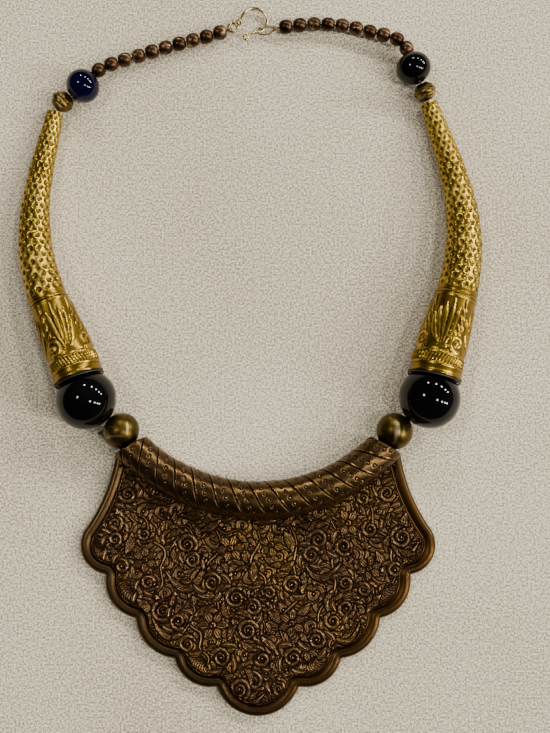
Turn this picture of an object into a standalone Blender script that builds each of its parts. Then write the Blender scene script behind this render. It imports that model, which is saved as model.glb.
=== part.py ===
"""Bib necklace: a scalloped bib pendant under a curved tube, two ball beads, two large beads, two horns of sheet
brass over a dark core, cap beads, upper beads, two runs of spacer beads, one stringing cord and a wire hook.

It lies flat, as laid on a table, with the bib towards -Y and the clasp towards +Y. Metres, +Z up. The origin is under
the middle of the whole necklace, on the table.
"""

import math
from collections import namedtuple

import bmesh
import bpy
from mathutils import Matrix, Vector

# Fits and the cord
PIECE_GAP = 0.0003
SPACER_GAP = 0.00035
BENT_GAP = 0.0006
CORD_DIAMETER = 0.0006

# Tube across the top of the bib
TUBE_ARC_RADIUS = 0.0578
TUBE_HALF_ANGLE = math.radians(46.3)
TUBE_END_TILT = math.radians(12.0)
TUBE_DIAMETER_MIDDLE = 0.0127
TUBE_DIAMETER_END = 0.0119
TUBE_BORE_DIAMETER = 0.0070
TUBE_SIDES = 16
TUBE_STEPS = 28
TUBE_BORE_SIDES = 10
TUBE_BORE_STEPS = 18
TUBE_CORD_STEPS = 16
# Shares of the half angle: how far the tube runs before it is cut, how far its bore's cutter runs, how far the plate
# reaches under it, and where the cord leaves its curve for the ball.
TUBE_UNCUT = 1.14
TUBE_BORE_REACH = 1.30
PLATE_UNDER_TUBE = 0.93
TUBE_CORD_REACH = 0.86

# Bib plate
BIB_WIDTH = 0.1170
BIB_DROP = 0.0692
BIB_EDGE_HEIGHT = 0.0035
BIB_FIELD_HEIGHT = 0.0046
BIB_BORDER_WIDTH = 0.0034
NOTCH_ROUNDING = 0.0010
# A corner whose turn has a sine past this is a notch, and its middle point is drawn in by this share of the rounding.
NOTCH_TURN = 0.4
NOTCH_FILL = 0.3
LOBE_POINTS = 9
TIP_LOBE_POINTS = 14
UNDER_TUBE_STEPS = 12
# The outline's corners are moved in by at most the inset over this.
SHARPEST_MITRE = 0.6

# Scroll relief on the bib
RELIEF_HEIGHT = 0.0008
RELIEF_WIDTH = 0.0013
RELIEF_ROOT = 0.0004
# What a scroll loses from its outer end to its tip, as shares: radius, width and height.
SCROLL_CLOSING = 0.80
SCROLL_NARROWING = 0.55
SCROLL_SINKING = 0.25
SCROLL_POINTS = 10

# Horns
HORN_WALL = 0.0006
HORN_SIDES = 14
HORN_STEPS = 12
HORN_RIDGE_HEIGHT = 0.0003
HORN_RIDGE_WIDTH = 0.00192
CORE_LIP_LENGTH = 0.0006
CORE_LIP_INSET = 0.0001
CORE_WALL = 0.0005
CORE_CUP_DEPTH = 0.0120
CORE_BORE_DIAMETER = 0.0022
CORE_STEPS = 9
CORE_BORE_STEPS = 6
HORN_CORD_STEPS = 11
# A horn's direction is read over this share of its length, and its ends' directions over the larger one.
DIRECTION_SHARE = 0.01
END_SHARE = 0.03

# Beads
BALL_BORE_DIAMETER = 0.0024
LARGE_BEAD_BORE_DIAMETER = 0.0036
LARGE_BORE_LEAN = 0.25
CAP_BEAD_BORE_DIAMETER = 0.0030
UPPER_BEAD_BORE_DIAMETER = 0.0036
SPACER_DIAMETER = 0.0050
SPACER_LENGTH = 0.0045
SPACER_BORE_DIAMETER = 0.0020
# The cord lifts the spacers next to the larger upper bead: the first one's share of the upper bead's extra height,
# and how much of its lift each following one keeps.
FIRST_SPACER_LIFT = 0.55
SPACER_LIFT_KEPT = 0.62

# Hook clasp
HOOK_WIRE_DIAMETER = 0.0011
EYE_WIRE_DIAMETER = 0.0009
EYE_RADIUS = 0.0016
HOOK_BOW_RADIUS = 0.0044
HOOK_CURL_RADIUS = 0.0010
HOOK_CURL_CLOSING = 0.10
# The last part of the hook's wire is filed thinner: from this share of its length on, to this share of its diameter.
HOOK_THIN_FROM = 0.72
HOOK_THIN_SHARE = 0.82
HOOK_SIDES = 6
HOOK_STEP = 0.85
EYE_POINTS = 14
# Wraps of the eye's wire round the shank: their own closeness to it, place and pitch in eye wires, and lean.
HOOK_WRAP_TURNS = 2
WRAP_CLOSENESS = 0.8
WRAP_START = 0.9
WRAP_PITCH = 1.05
WRAP_HEADING = 41.5
WRAP_LEAN = -14.0
WRAP_POINTS = 9

# Cord ends
EYE_STAND_OFF = 0.0009
DOUBLED_CORD_SPREAD = 0.0008
KNOT_DIAMETER = 0.0021
LOOP_REACH = 0.0052
LOOP_SPREAD = 0.0011
CATCH_LENGTH = 0.0016
CATCH_STEPS = 5
LOOP_WAIST = 0.45
LOOP_STEP = 1.1
CORD_SIDES = 6
# Where the doubled cord leaves and enters the last spacer, in spacer lengths from its centre.
EYE_TURN_ROOT = 0.10
EYE_TURN_MOUTH = 0.45

# The hook in its own plan, from the eye's centre, with headings in degrees. The shank's points are in eye radii, and
# the centres of the bow and of the curl in bow radii past the eye.
Reach = namedtuple("Reach", "heading eye_radii")
HOOK_SHANK = (Reach(heading=41, eye_radii=0.9), Reach(heading=42, eye_radii=2.1))
Sweep = namedtuple("Sweep", "across up start stop step")
HOOK_BOW = Sweep(across=1.32, up=0.60, start=152, stop=-58, step=-14)
HOOK_CURL = Sweep(across=0.66, up=-0.77, start=88, stop=382, step=42)
CATCH_HEADING = -62.0
CATCH_HALF_SPAN = 4.0

# Each lobe of the bib's right edge ends in a notch. Shares of half the width and of the drop, and the lobe's bulge as
# a share of its chord. The first row is the tip lobe's notch.
Notch = namedtuple("Notch", "across down bulge")
NOTCHES = (
    Notch(across=0.227, down=0.864, bulge=0.35),
    Notch(across=0.462, down=0.735, bulge=0.20),
    Notch(across=0.680, down=0.550, bulge=0.18),
    Notch(across=0.850, down=0.348, bulge=0.20),
)
SHOULDER = Notch(across=0.974, down=0.141, bulge=0.26)
# The straight side above the shoulder, and the plate's top corner at the lower edge of the tube's end: out from the
# tube's axis, in end radii, and past the end.
SIDE_BULGE = -0.060
PLATE_CORNER_OUT = 0.985
PLATE_CORNER_PAST = 0.00146

# Border section of the bib, from the back to the field: share of the border's width, share of the edge's height, and
# how far the height has gone over from the edge's to the field's.
Border = namedtuple("Border", "inset height to_field")
BORDER = (
    Border(inset=0.18, height=0.0, to_field=0.0),
    Border(inset=0.0, height=0.20, to_field=0.0),
    Border(inset=0.0, height=0.70, to_field=0.0),
    Border(inset=0.14, height=0.92, to_field=0.0),
    Border(inset=0.38, height=1.0, to_field=0.0),
    Border(inset=0.66, height=0.90, to_field=0.0),
    Border(inset=0.86, height=1.0, to_field=0.80),
    Border(inset=1.0, height=1.0, to_field=1.0),
)

# Scrolls raised on the right half of the field, mirrored to the left. Centre as shares of half the width and of the
# drop, outer radius as a share of half the width, start angle in degrees and turns (negative is clockwise).
Scroll = namedtuple("Scroll", "across down radius start turns")
SCROLLS = (
    Scroll(across=0.726, down=-0.030, radius=0.058, start=200, turns=1.5),
    Scroll(across=0.797, down=0.160, radius=0.080, start=120, turns=-1.5),
    Scroll(across=0.364, down=0.190, radius=0.050, start=300, turns=1.5),
    Scroll(across=0.325, down=0.290, radius=0.058, start=120, turns=1.5),
    Scroll(across=0.480, down=0.200, radius=0.052, start=150, turns=-1.5),
    Scroll(across=0.220, down=0.385, radius=0.058, start=240, turns=1.5),
    Scroll(across=0.093, down=0.450, radius=0.055, start=20, turns=-1.5),
    Scroll(across=0.506, down=0.490, radius=0.060, start=100, turns=-1.5),
    Scroll(across=0.430, down=0.590, radius=0.052, start=330, turns=1.5),
    Scroll(across=0.300, down=0.690, radius=0.048, start=60, turns=-1.5),
    Scroll(across=0.170, down=0.745, radius=0.050, start=180, turns=1.5),
    Scroll(across=0.075, down=0.870, radius=0.060, start=180, turns=1.5),
)
# Flowers on the right half, mirrored to the left, and their section: share of the relief's height and of the radius.
Flower = namedtuple("Flower", "across down")
FLOWERS = (
    Flower(across=0.113, down=0.215),
    Flower(across=0.52, down=0.08),
    Flower(across=0.62, down=0.30),
    Flower(across=0.218, down=0.576),
)
FLOWER_DIAMETER = 0.0068
FLOWER_PETALS = 6
FLOWER_VALLEY = 0.62
Petal = namedtuple("Petal", "height radius")
FLOWER_SECTION = (Petal(height=0.6, radius=0.92), Petal(height=1.0, radius=0.35))

# Horn shape from the narrow end to the mouth: share of the length, bow as a share of the length, and girth between
# the narrow end's and the mouth's.
Station = namedtuple("Station", "along bow girth")
HORN_STATIONS = (
    Station(along=0.00, bow=0.000, girth=0.00),
    Station(along=0.08, bow=0.025, girth=0.09),
    Station(along=0.18, bow=0.058, girth=0.18),
    Station(along=0.30, bow=0.091, girth=0.29),
    Station(along=0.42, bow=0.111, girth=0.42),
    Station(along=0.54, bow=0.113, girth=0.53),
    Station(along=0.66, bow=0.095, girth=0.62),
    Station(along=0.77, bow=0.065, girth=0.74),
    Station(along=0.87, bow=0.034, girth=0.87),
    Station(along=0.95, bow=0.012, girth=0.95),
    Station(along=1.00, bow=0.000, girth=1.00),
)
# Raised bands round the sheath, as distances from the mouth in shares of the horn's length.
HORN_RIDGES = (0.030, 0.075, 0.285)

# One side of the necklace, with headings in degrees in plan: 0 runs outwards, 90 up to the clasp, 180 inwards.
Side = namedtuple(
    "Side",
    "name mirror ball_diameter ball_length large_diameter large_length large_heading horn_length mouth_diameter "
    "narrow_diameter horn_heading cap_diameter cap_length cap_heading upper_diameter upper_length upper_heading "
    "spacer_headings end_heading upper_finish",
)
LEFT = Side(
    name="left",
    mirror=-1,
    ball_diameter=0.0123,
    ball_length=0.0112,
    large_diameter=0.0199,
    large_length=0.0186,
    large_heading=42.9,
    horn_length=0.0916,
    mouth_diameter=0.0168,
    narrow_diameter=0.0056,
    horn_heading=83.8,
    cap_diameter=0.0077,
    cap_length=0.0062,
    cap_heading=126,
    upper_diameter=0.0116,
    upper_length=0.0103,
    upper_heading=147,
    spacer_headings=(130, 151, 160, 163, 162, 163, 164, 166, 165, 162),
    end_heading=160,
    upper_finish="navy_glass",
)
RIGHT = Side(
    name="right",
    mirror=1,
    ball_diameter=0.0122,
    ball_length=0.0116,
    large_diameter=0.0201,
    large_length=0.0194,
    large_heading=43.6,
    horn_length=0.0938,
    mouth_diameter=0.0178,
    narrow_diameter=0.0058,
    horn_heading=89.6,
    cap_diameter=0.0076,
    cap_length=0.0060,
    cap_heading=110,
    upper_diameter=0.0120,
    upper_length=0.0104,
    upper_heading=119,
    spacer_headings=(105, 131, 160, 165, 164, 168, 175, 179, 184, 187),
    end_heading=189,
    upper_finish="black_glass",
)

SHARP_ANGLE = 42.0

# Principled finishes: colour, metallic, roughness
FINISHES = {
    "copper": ((0.23, 0.12, 0.055), 1.0, 0.38),
    "gilt_brass": ((0.62, 0.42, 0.10), 1.0, 0.32),
    "ball_brass": ((0.34, 0.24, 0.08), 1.0, 0.30),
    "black_glass": ((0.004, 0.004, 0.005), 0.0, 0.06),
    "navy_glass": ((0.004, 0.005, 0.045), 0.0, 0.06),
    "dark_core": ((0.010, 0.008, 0.008), 0.0, 0.45),
    "spacer_bronze": ((0.16, 0.070, 0.030), 1.0, 0.30),
    "cord": ((0.20, 0.14, 0.075), 0.0, 0.80),
    "hook_wire": ((0.58, 0.47, 0.22), 1.0, 0.25),
}


def clear_scene():
    for old in list(bpy.data.objects):
        bpy.data.objects.remove(old)


def finish_material(name):
    found = bpy.data.materials.get(name)
    if found:
        return found
    colour, metallic, roughness = FINISHES[name]
    made = bpy.data.materials.new(name)
    made.use_nodes = True
    shader = made.node_tree.nodes["Principled BSDF"]
    shader.inputs["Base Color"].default_value = (*colour, 1.0)
    shader.inputs["Metallic"].default_value = metallic
    shader.inputs["Roughness"].default_value = roughness
    return made


def add_piece(name, bm, finish):
    """A named object from a bmesh, with its finish, smooth over its round faces."""
    bmesh.ops.recalc_face_normals(bm, faces=bm.faces)
    mesh = bpy.data.meshes.new(name)
    bm.to_mesh(mesh)
    bm.free()
    mesh.shade_smooth()
    mesh.set_sharp_from_angle(angle=math.radians(SHARP_ANGLE))
    mesh.materials.append(finish_material(finish))
    piece = bpy.data.objects.new(name, mesh)
    bpy.context.scene.collection.objects.link(piece)
    return piece


def heading_vector(degrees):
    return Vector((math.cos(math.radians(degrees)), math.sin(math.radians(degrees)), 0.0))


def smooth_value(keys, values, at):
    """A value at `at` on a smooth curve through (keys, values)."""
    end_span = len(keys) - 2
    i = next((k for k in range(end_span) if at <= keys[k + 1]), end_span)

    def slope(k):
        low, high = max(k - 1, 0), min(k + 1, len(keys) - 1)
        return (values[high] - values[low]) / (keys[high] - keys[low])

    span = keys[i + 1] - keys[i]
    t = (at - keys[i]) / span
    rise = values[i + 1] - values[i]
    start, end = slope(i) * span, slope(i + 1) * span
    return values[i] + start * t + (3 * rise - 2 * start - end) * t**2 + (start + end - 2 * rise) * t**3


def smooth_path(points, step):
    """Points about `step` apart on a smooth curve through `points`."""
    keys = [0.0]
    for before, after in zip(points, points[1:]):
        keys.append(keys[-1] + (after - before).length)
    count = max(2, round(keys[-1] / step))
    return [
        Vector([smooth_value(keys, [p[axis] for p in points], keys[-1] * k / count) for axis in range(3)])
        for k in range(count + 1)
    ]


def ring_points(centre, normal, radius, sides):
    """A circle's points round `normal`, starting on its upper side."""
    side = normal.cross(Vector((0, 0, 1))).normalized()
    up = side.cross(normal).normalized()
    turns = [2 * math.pi * k / sides for k in range(sides)]
    return [centre + radius * (up * math.cos(a) + side * math.sin(a)) for a in turns]


def loft(rings, closed):
    """A skin over rings of points. Closed joins the last ring to the first; otherwise both ends are capped."""
    bm = bmesh.new()
    loops = [[bm.verts.new(p) for p in ring] for ring in rings]
    pairs = list(zip(loops, loops[1:]))
    if closed:
        pairs.append((loops[-1], loops[0]))
    for one, other in pairs:
        for k in range(len(one)):
            nxt = (k + 1) % len(one)
            bm.faces.new((one[k], one[nxt], other[nxt], other[k]))
    if not closed:
        bm.faces.new(loops[0])
        bm.faces.new(loops[-1])
    return bm


def wire_bmesh(points, diameter, sides, widths=None, turned=0.0):
    """A round wire along points, its ends capped. `widths` are shares of the diameter, one for each point, and
    `turned` is how far the section is turned, in sides."""
    rings = []
    turns = [2 * math.pi * (j + turned) / sides for j in range(sides)]
    side = (points[1] - points[0]).cross(Vector((0, 0, 1)))
    for k, point in enumerate(points):
        before, after = points[max(k - 1, 0)], points[min(k + 1, len(points) - 1)]
        along = (after - before).normalized()
        side = (side - along * side.dot(along)).normalized()
        up = side.cross(along)
        radius = diameter / 2 * (widths[k] if widths else 1.0)
        rings.append([point + radius * (up * math.cos(a) + side * math.sin(a)) for a in turns])
    return loft(rings, closed=False)


def combine(target, other, operation):
    """Applies a Boolean of `other` to `target` and removes `other`."""
    cut = target.modifiers.new(operation.lower(), "BOOLEAN")
    cut.operation = operation
    cut.object = other
    cut.solver = "EXACT"
    bpy.context.view_layer.update()
    evaluated = target.evaluated_get(bpy.context.evaluated_depsgraph_get())
    mesh = bpy.data.meshes.new_from_object(evaluated)
    mesh.shade_smooth()
    mesh.set_sharp_from_angle(angle=math.radians(SHARP_ANGLE))
    target.modifiers.clear()
    target.data = mesh
    bpy.data.objects.remove(other)


def drilled_bead(name, diameter, length, bore, centre, axis, finish, sides, steps):
    """A bead turned about its bore. `length` runs along the bore, between the bore's two mouths."""
    half = length / 2
    bore_radius = bore / 2
    full = math.sqrt(max(1.0 - (bore / diameter) ** 2, 0.1))
    profile = []
    for k in range(steps + 1):
        share = -1 + 2 * k / steps
        angle = share * math.asin(full)
        profile.append((diameter / 2 * math.cos(angle), half * math.sin(angle) / full))
    profile[0] = (bore_radius, -half)
    profile[-1] = (bore_radius, half)
    bm = bmesh.new()
    verts = [bm.verts.new((radius, 0.0, along)) for radius, along in profile]
    edges = [bm.edges.new((verts[k], verts[(k + 1) % len(verts)])) for k in range(len(verts))]
    bmesh.ops.spin(
        bm,
        geom=verts + edges,
        axis=(0, 0, 1),
        cent=(0, 0, 0),
        angle=2 * math.pi,
        steps=sides,
        use_merge=True,
    )
    bead = add_piece(name, bm, finish)
    bead.rotation_mode = "QUATERNION"
    bead.rotation_quaternion = axis.to_track_quat("Z", "X")
    bead.location = centre
    return bead


# Bib pendant


def tube_arc_centre():
    """Plan centre of the tube's arc. The tube's middle is at the pendant's own origin."""
    return Vector((0.0, TUBE_ARC_RADIUS, TUBE_DIAMETER_MIDDLE / 2))


def tube_width(share):
    """Tube diameter at a share of the half angle, 0 at the middle."""
    return TUBE_DIAMETER_MIDDLE + (TUBE_DIAMETER_END - TUBE_DIAMETER_MIDDLE) * share**2


def tube_point(angle):
    """A point on the tube's centreline; its underside stays on the table."""
    share = abs(angle) / TUBE_HALF_ANGLE
    height = tube_width(min(share, 1.0)) / 2
    centre = tube_arc_centre()
    across = TUBE_ARC_RADIUS * math.sin(angle)
    return Vector((across, centre.y - TUBE_ARC_RADIUS * math.cos(angle), height))


def tube_end(mirror):
    """Centre of the tube's end face and the outward normal of its cut."""
    normal = heading_vector(math.degrees(TUBE_HALF_ANGLE + TUBE_END_TILT))
    return tube_point(mirror * TUBE_HALF_ANGLE), Vector((mirror * normal.x, normal.y, 0.0))


def arc_points(start, end, bulge, count):
    """Points from start towards end, without the end, on an arc that bulges to the right by `bulge` of the chord."""
    chord = end - start
    right = Vector((chord.y, -chord.x))
    if abs(bulge) < 1e-6:
        return [start + chord * k / count for k in range(count)]
    sagitta = abs(bulge) * chord.length
    radius = (chord.length**2 / 4 + sagitta**2) / (2 * sagitta)
    half = math.asin(min(1.0, chord.length / 2 / radius))
    sign = math.copysign(1.0, bulge)
    if sagitta > radius:
        half = math.pi - half
    middle = start + chord / 2 + right.normalized() * sign * (sagitta - radius)
    along, out = chord.normalized(), right.normalized() * sign
    turns = [-half + 2 * half * k / count for k in range(count)]
    return [middle + radius * (along * math.sin(a) + out * math.cos(a)) for a in turns]


def bib_place(across, down):
    """A plan point of the bib from shares of half its width and of its drop below the tube's middle."""
    return Vector((across * BIB_WIDTH / 2, -down * BIB_DROP))


def plate_corner():
    """The plate's right top corner, beside the tube's end."""
    along = heading_vector(math.degrees(TUBE_HALF_ANGLE)).to_2d()
    out = Vector((along.y, -along.x))
    end = tube_point(TUBE_HALF_ANGLE).to_2d()
    return end + out * TUBE_DIAMETER_END / 2 * PLATE_CORNER_OUT + along * PLATE_CORNER_PAST


def bib_outline():
    """The bib's plan outline, anticlockwise, from under the tube's left end round the scallops to its right end."""
    half = []
    rows = (*NOTCHES, SHOULDER)
    starts = [bib_place(row.across, row.down) for row in rows] + [plate_corner()]
    bulges = [row.bulge for row in rows[1:]] + [SIDE_BULGE]
    for start, end, bulge in zip(starts, starts[1:], bulges):
        half += arc_points(start, end, bulge, LOBE_POINTS)
    half.append(starts[-1])
    tip_start = bib_place(-NOTCHES[0].across, NOTCHES[0].down)
    tip = arc_points(tip_start, starts[0], NOTCHES[0].bulge, TIP_LOBE_POINTS)
    left = [Vector((-p.x, p.y)) for p in reversed(half)]
    reach = TUBE_HALF_ANGLE * PLATE_UNDER_TUBE
    shares = [1 - 2 * k / UNDER_TUBE_STEPS for k in range(UNDER_TUBE_STEPS + 1)]
    under_tube = [tube_point(reach * share).to_2d() for share in shares]
    return rounded_notches(left[:-1] + tip + half + under_tube)


def rounded_notches(points):
    """Softens each inner corner between two lobes."""
    made = []
    count = len(points)
    for k, point in enumerate(points):
        before, after = points[k - 1], points[(k + 1) % count]
        back, on = (before - point).normalized(), (after - point).normalized()
        if on.cross(back) < -NOTCH_TURN:
            made.append(point + back * NOTCH_ROUNDING)
            made.append(point + (back + on) * NOTCH_ROUNDING * NOTCH_FILL)
            made.append(point + on * NOTCH_ROUNDING)
        else:
            made.append(point)
    return made


def inset_outline(points, inset):
    """The outline moved inwards by `inset`, point by point."""
    moved = []
    count = len(points)
    for k, point in enumerate(points):
        before = (point - points[k - 1]).normalized()
        after = (points[(k + 1) % count] - point).normalized()
        inward = Vector((-before.y - after.y, before.x + after.x)).normalized()
        spread = max(SHARPEST_MITRE, inward.dot(Vector((-before.y, before.x))))
        moved.append(point + inward * inset / spread)
    return moved


def bib_plate():
    outline = bib_outline()
    rings = []
    for row in BORDER:
        height = row.height * BIB_EDGE_HEIGHT
        height += row.to_field * (BIB_FIELD_HEIGHT - height)
        ring = inset_outline(outline, row.inset * BIB_BORDER_WIDTH)
        rings.append([Vector((p.x, p.y, height)) for p in ring])
    return add_piece("bib_pendant", loft(rings, closed=False), "copper")


def tube_solid():
    """The tube, longer than it ends up, then cut square to each ball's seat."""
    over = TUBE_HALF_ANGLE * TUBE_UNCUT
    angles = [-over + 2 * over * k / TUBE_STEPS for k in range(TUBE_STEPS + 1)]
    widths = [tube_width(min(abs(a) / TUBE_HALF_ANGLE, 1.0)) / TUBE_DIAMETER_MIDDLE for a in angles]
    # Half a side round, so that no edge of the tube lies in the plane of the plate's back.
    bm = wire_bmesh([tube_point(a) for a in angles], TUBE_DIAMETER_MIDDLE, TUBE_SIDES, widths, turned=0.5)
    for mirror in (-1, 1):
        centre, normal = tube_end(mirror)
        cut = bmesh.ops.bisect_plane(
            bm,
            geom=bm.verts[:] + bm.edges[:] + bm.faces[:],
            plane_co=centre,
            plane_no=normal,
            clear_outer=True,
        )
        rim = [e for e in cut["geom_cut"] if isinstance(e, bmesh.types.BMEdge)]
        bmesh.ops.edgenet_fill(bm, edges=rim)
    return add_piece("tube", bm, "copper")


def tube_bore():
    over = TUBE_HALF_ANGLE * TUBE_BORE_REACH
    points = [tube_point(-over + 2 * over * k / TUBE_BORE_STEPS) for k in range(TUBE_BORE_STEPS + 1)]
    return add_piece("tube_bore", wire_bmesh(points, TUBE_BORE_DIAMETER, TUBE_BORE_SIDES), "copper")


def scroll_bmesh(scroll, mirror):
    """A raised spiral ridge that narrows and sinks towards its tip."""
    centre = bib_place(scroll.across * mirror, scroll.down)
    outer = scroll.radius * BIB_WIDTH / 2
    rings = []
    for k in range(SCROLL_POINTS):
        share = k / (SCROLL_POINTS - 1)
        angle = math.radians(scroll.start) + 2 * math.pi * scroll.turns * share
        radius = outer * (1 - SCROLL_CLOSING * share)
        out = Vector((mirror * math.cos(angle), math.sin(angle)))
        middle = centre + out * radius
        half = RELIEF_WIDTH / 2 * (1 - SCROLL_NARROWING * share)
        crest = BIB_FIELD_HEIGHT + RELIEF_HEIGHT * (1 - SCROLL_SINKING * share)
        root = BIB_FIELD_HEIGHT - RELIEF_ROOT
        corners = ((middle - out * half, root), (middle, crest), (middle + out * half, root))
        rings.append([Vector((p.x, p.y, z)) for p, z in corners])
    return loft(rings, closed=False)


def flower_bmesh(across, down):
    """A low six-petalled boss."""
    centre = bib_place(across, down)

    def petal_ring(height, share):
        ring = []
        for k in range(2 * FLOWER_PETALS):
            radius = FLOWER_DIAMETER / 2 * share * (FLOWER_VALLEY if k % 2 else 1.0)
            out = heading_vector(180 * k / FLOWER_PETALS) * radius
            ring.append(Vector((centre.x + out.x, centre.y + out.y, BIB_FIELD_HEIGHT + height)))
        return ring

    rings = [petal_ring(-RELIEF_ROOT, 1.0)]
    rings += [petal_ring(row.height * RELIEF_HEIGHT, row.radius) for row in FLOWER_SECTION]
    return loft(rings, closed=False)


def bib_pendant():
    """Plate, tube and relief are one soldered solid, with the cord's bore through the tube."""
    pendant = bib_plate()
    combine(pendant, tube_solid(), "UNION")
    for mirror in (-1, 1):
        for scroll in SCROLLS:
            combine(pendant, add_piece("scroll", scroll_bmesh(scroll, mirror), "copper"), "UNION")
        for row in FLOWERS:
            combine(pendant, add_piece("flower", flower_bmesh(row.across * mirror, row.down), "copper"), "UNION")
    combine(pendant, tube_bore(), "DIFFERENCE")
    return pendant


# Layout of the strung pieces


def off_ring(ring_centre, ring_axis, ring_radius, heading, ball_radius):
    """Centre of a ball on the table that stops PIECE_GAP short of a ring's edge, along a plan heading."""
    near, far = 0.0, ring_radius + 3 * ball_radius
    for _ in range(40):
        reach = (near + far) / 2
        centre = ring_centre + heading * reach
        centre.z = ball_radius
        away = centre - ring_centre
        along = away.dot(ring_axis)
        across = (away - ring_axis * along).length
        if math.hypot(along, across - ring_radius) < ball_radius + PIECE_GAP:
            near = reach
        else:
            far = reach
    return centre


def off_face(face_centre, face_axis, heading, ball_radius):
    """Centre of a ball on the table that stops PIECE_GAP short of a flat face, along a plan heading."""
    rise = ball_radius - face_centre.z
    reach = (ball_radius + PIECE_GAP - rise * face_axis.z) / heading.dot(face_axis)
    return face_centre + heading * reach + Vector((0.0, 0.0, rise))


def next_centre(centre, half, heading, next_half, next_height, gap):
    """Centre of the next bead on the cord. Heights are of the beads' centres above the table."""
    reach = half + next_half + gap
    rise = next_height - centre.z
    plan = math.sqrt(max(reach**2 - rise**2, 0.0))
    made = centre + heading * plan
    made.z = next_height
    return made


def horn_bow(share):
    return smooth_value([s.along for s in HORN_STATIONS], [s.bow for s in HORN_STATIONS], share)


def horn_girth(side, share):
    """Outer diameter of the sheath at a share of its length from the narrow end."""
    girth = smooth_value([s.along for s in HORN_STATIONS], [s.girth for s in HORN_STATIONS], share)
    return side.narrow_diameter + (side.mouth_diameter - side.narrow_diameter) * girth


def cup_radius(side):
    """Radius of the hollow at the front of the core's lip, where the large bead sits."""
    return side.mouth_diameter / 2 - CORE_LIP_INSET - CORE_WALL


def lay_side(side):
    """Places of one side's pieces in its own plan, x outwards and y up to the clasp, from the ball's centre."""
    ball = Vector((0.0, 0.0, side.ball_diameter / 2))
    large_radius = side.large_diameter / 2
    large = next_centre(
        ball,
        side.ball_length / 2,
        heading_vector(side.large_heading),
        side.large_length / 2,
        large_radius,
        PIECE_GAP,
    )
    mouth_slope = math.degrees(math.atan(horn_bow(1 - END_SHARE) / END_SHARE))
    mouth_heading = heading_vector(side.horn_heading - mouth_slope)
    cup_flat = cup_radius(side) * math.cos(math.pi / HORN_SIDES)
    seat = math.sqrt((large_radius + PIECE_GAP) ** 2 - cup_flat**2) + PIECE_GAP + CORE_LIP_LENGTH
    narrow_height = side.narrow_diameter / 2
    lift = seat / side.horn_length
    mouth_height = (large_radius + lift * narrow_height) / (1 + lift)
    mouth = large + mouth_heading * seat * math.cos(math.atan((mouth_height - narrow_height) / side.horn_length))
    mouth.z = mouth_height
    narrow = mouth + heading_vector(side.horn_heading) * side.horn_length
    narrow.z = narrow_height
    horn = (narrow, mouth)
    before, end = horn_centre(horn, END_SHARE), horn_centre(horn, 0.0)
    cap = off_face(end, (end - before).normalized(), heading_vector(side.cap_heading), side.cap_diameter / 2)
    upper_radius = side.upper_diameter / 2
    upper = next_centre(
        cap,
        side.cap_length / 2,
        heading_vector(side.upper_heading),
        side.upper_length / 2,
        upper_radius,
        BENT_GAP,
    )
    spacers = []
    centre, half = upper, side.upper_length / 2
    lift = (upper_radius - SPACER_DIAMETER / 2) * FIRST_SPACER_LIFT
    for k, heading in enumerate(side.spacer_headings):
        height = SPACER_DIAMETER / 2 + lift * SPACER_LIFT_KEPT**k
        gap = BENT_GAP if k == 0 else SPACER_GAP
        centre = next_centre(centre, half, heading_vector(heading), SPACER_LENGTH / 2, height, gap)
        spacers.append(centre)
        half = SPACER_LENGTH / 2
    return {"ball": ball, "large": large, "horn": horn, "cap": cap, "upper": upper, "spacers": spacers}


def horn_centre(horn, share):
    """A point on the horn's centreline at a share of its length from the narrow end. It bows outwards."""
    narrow, mouth = horn
    chord = narrow - mouth
    flat = Vector((chord.x, chord.y, 0.0))
    out = Vector((flat.y, -flat.x, 0.0))
    return narrow - chord * share + out * horn_bow(share)


def hook_catch():
    """Where the cord's loop holds the hook's wire, in the hook's own plan, from the eye's centre."""
    return hook_plan_point(CATCH_HEADING)


def sweep_centre(sweep):
    return Vector((EYE_RADIUS + HOOK_BOW_RADIUS * sweep.across, HOOK_BOW_RADIUS * sweep.up, 0.0))


def sweep_headings(sweep):
    return range(sweep.start, sweep.stop + sweep.step, sweep.step)


def hook_plan_point(degrees):
    return sweep_centre(HOOK_BOW) + HOOK_BOW_RADIUS * heading_vector(degrees)


def close_the_loop(left, right, left_ball, right_ball):
    """Angles that swing each side about its ball so that the hook's catch and the loop's reach meet."""
    eye_reach = SPACER_LENGTH / 2 + EYE_STAND_OFF + EYE_RADIUS
    eye = left["spacers"][-1] + heading_vector(LEFT.end_heading) * eye_reach
    catch = hook_catch()
    left_arm = Vector((-(eye.x - catch.x), eye.y + catch.y))
    knot_reach = SPACER_LENGTH / 2 + PIECE_GAP + KNOT_DIAMETER / 2
    knot = right["spacers"][-1] + heading_vector(RIGHT.end_heading) * knot_reach
    tip = knot + heading_vector(RIGHT.end_heading) * LOOP_REACH
    right_arm = tip.to_2d()
    base = (right_ball - left_ball).to_2d()
    along = (base.length**2 + left_arm.length**2 - right_arm.length**2) / (2 * base.length)
    up = math.sqrt(max(left_arm.length**2 - along**2, 0.0))
    across = base.normalized()
    meeting = left_ball.to_2d() + across * along + Vector((-across.y, across.x)) * up

    def turn(arm, ball):
        wanted = meeting - ball.to_2d()
        return math.atan2(wanted.y, wanted.x) - math.atan2(arm.y, arm.x)

    return turn(left_arm, left_ball), turn(right_arm, right_ball), eye, knot


def placed(point, side, ball, turn):
    """A side's plan point in the necklace's frame."""
    mirrored = Vector((point.x * side.mirror, point.y, 0.0))
    made = Matrix.Rotation(turn, 3, "Z") @ mirrored
    return Vector((ball.x + made.x, ball.y + made.y, point.z))


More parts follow.
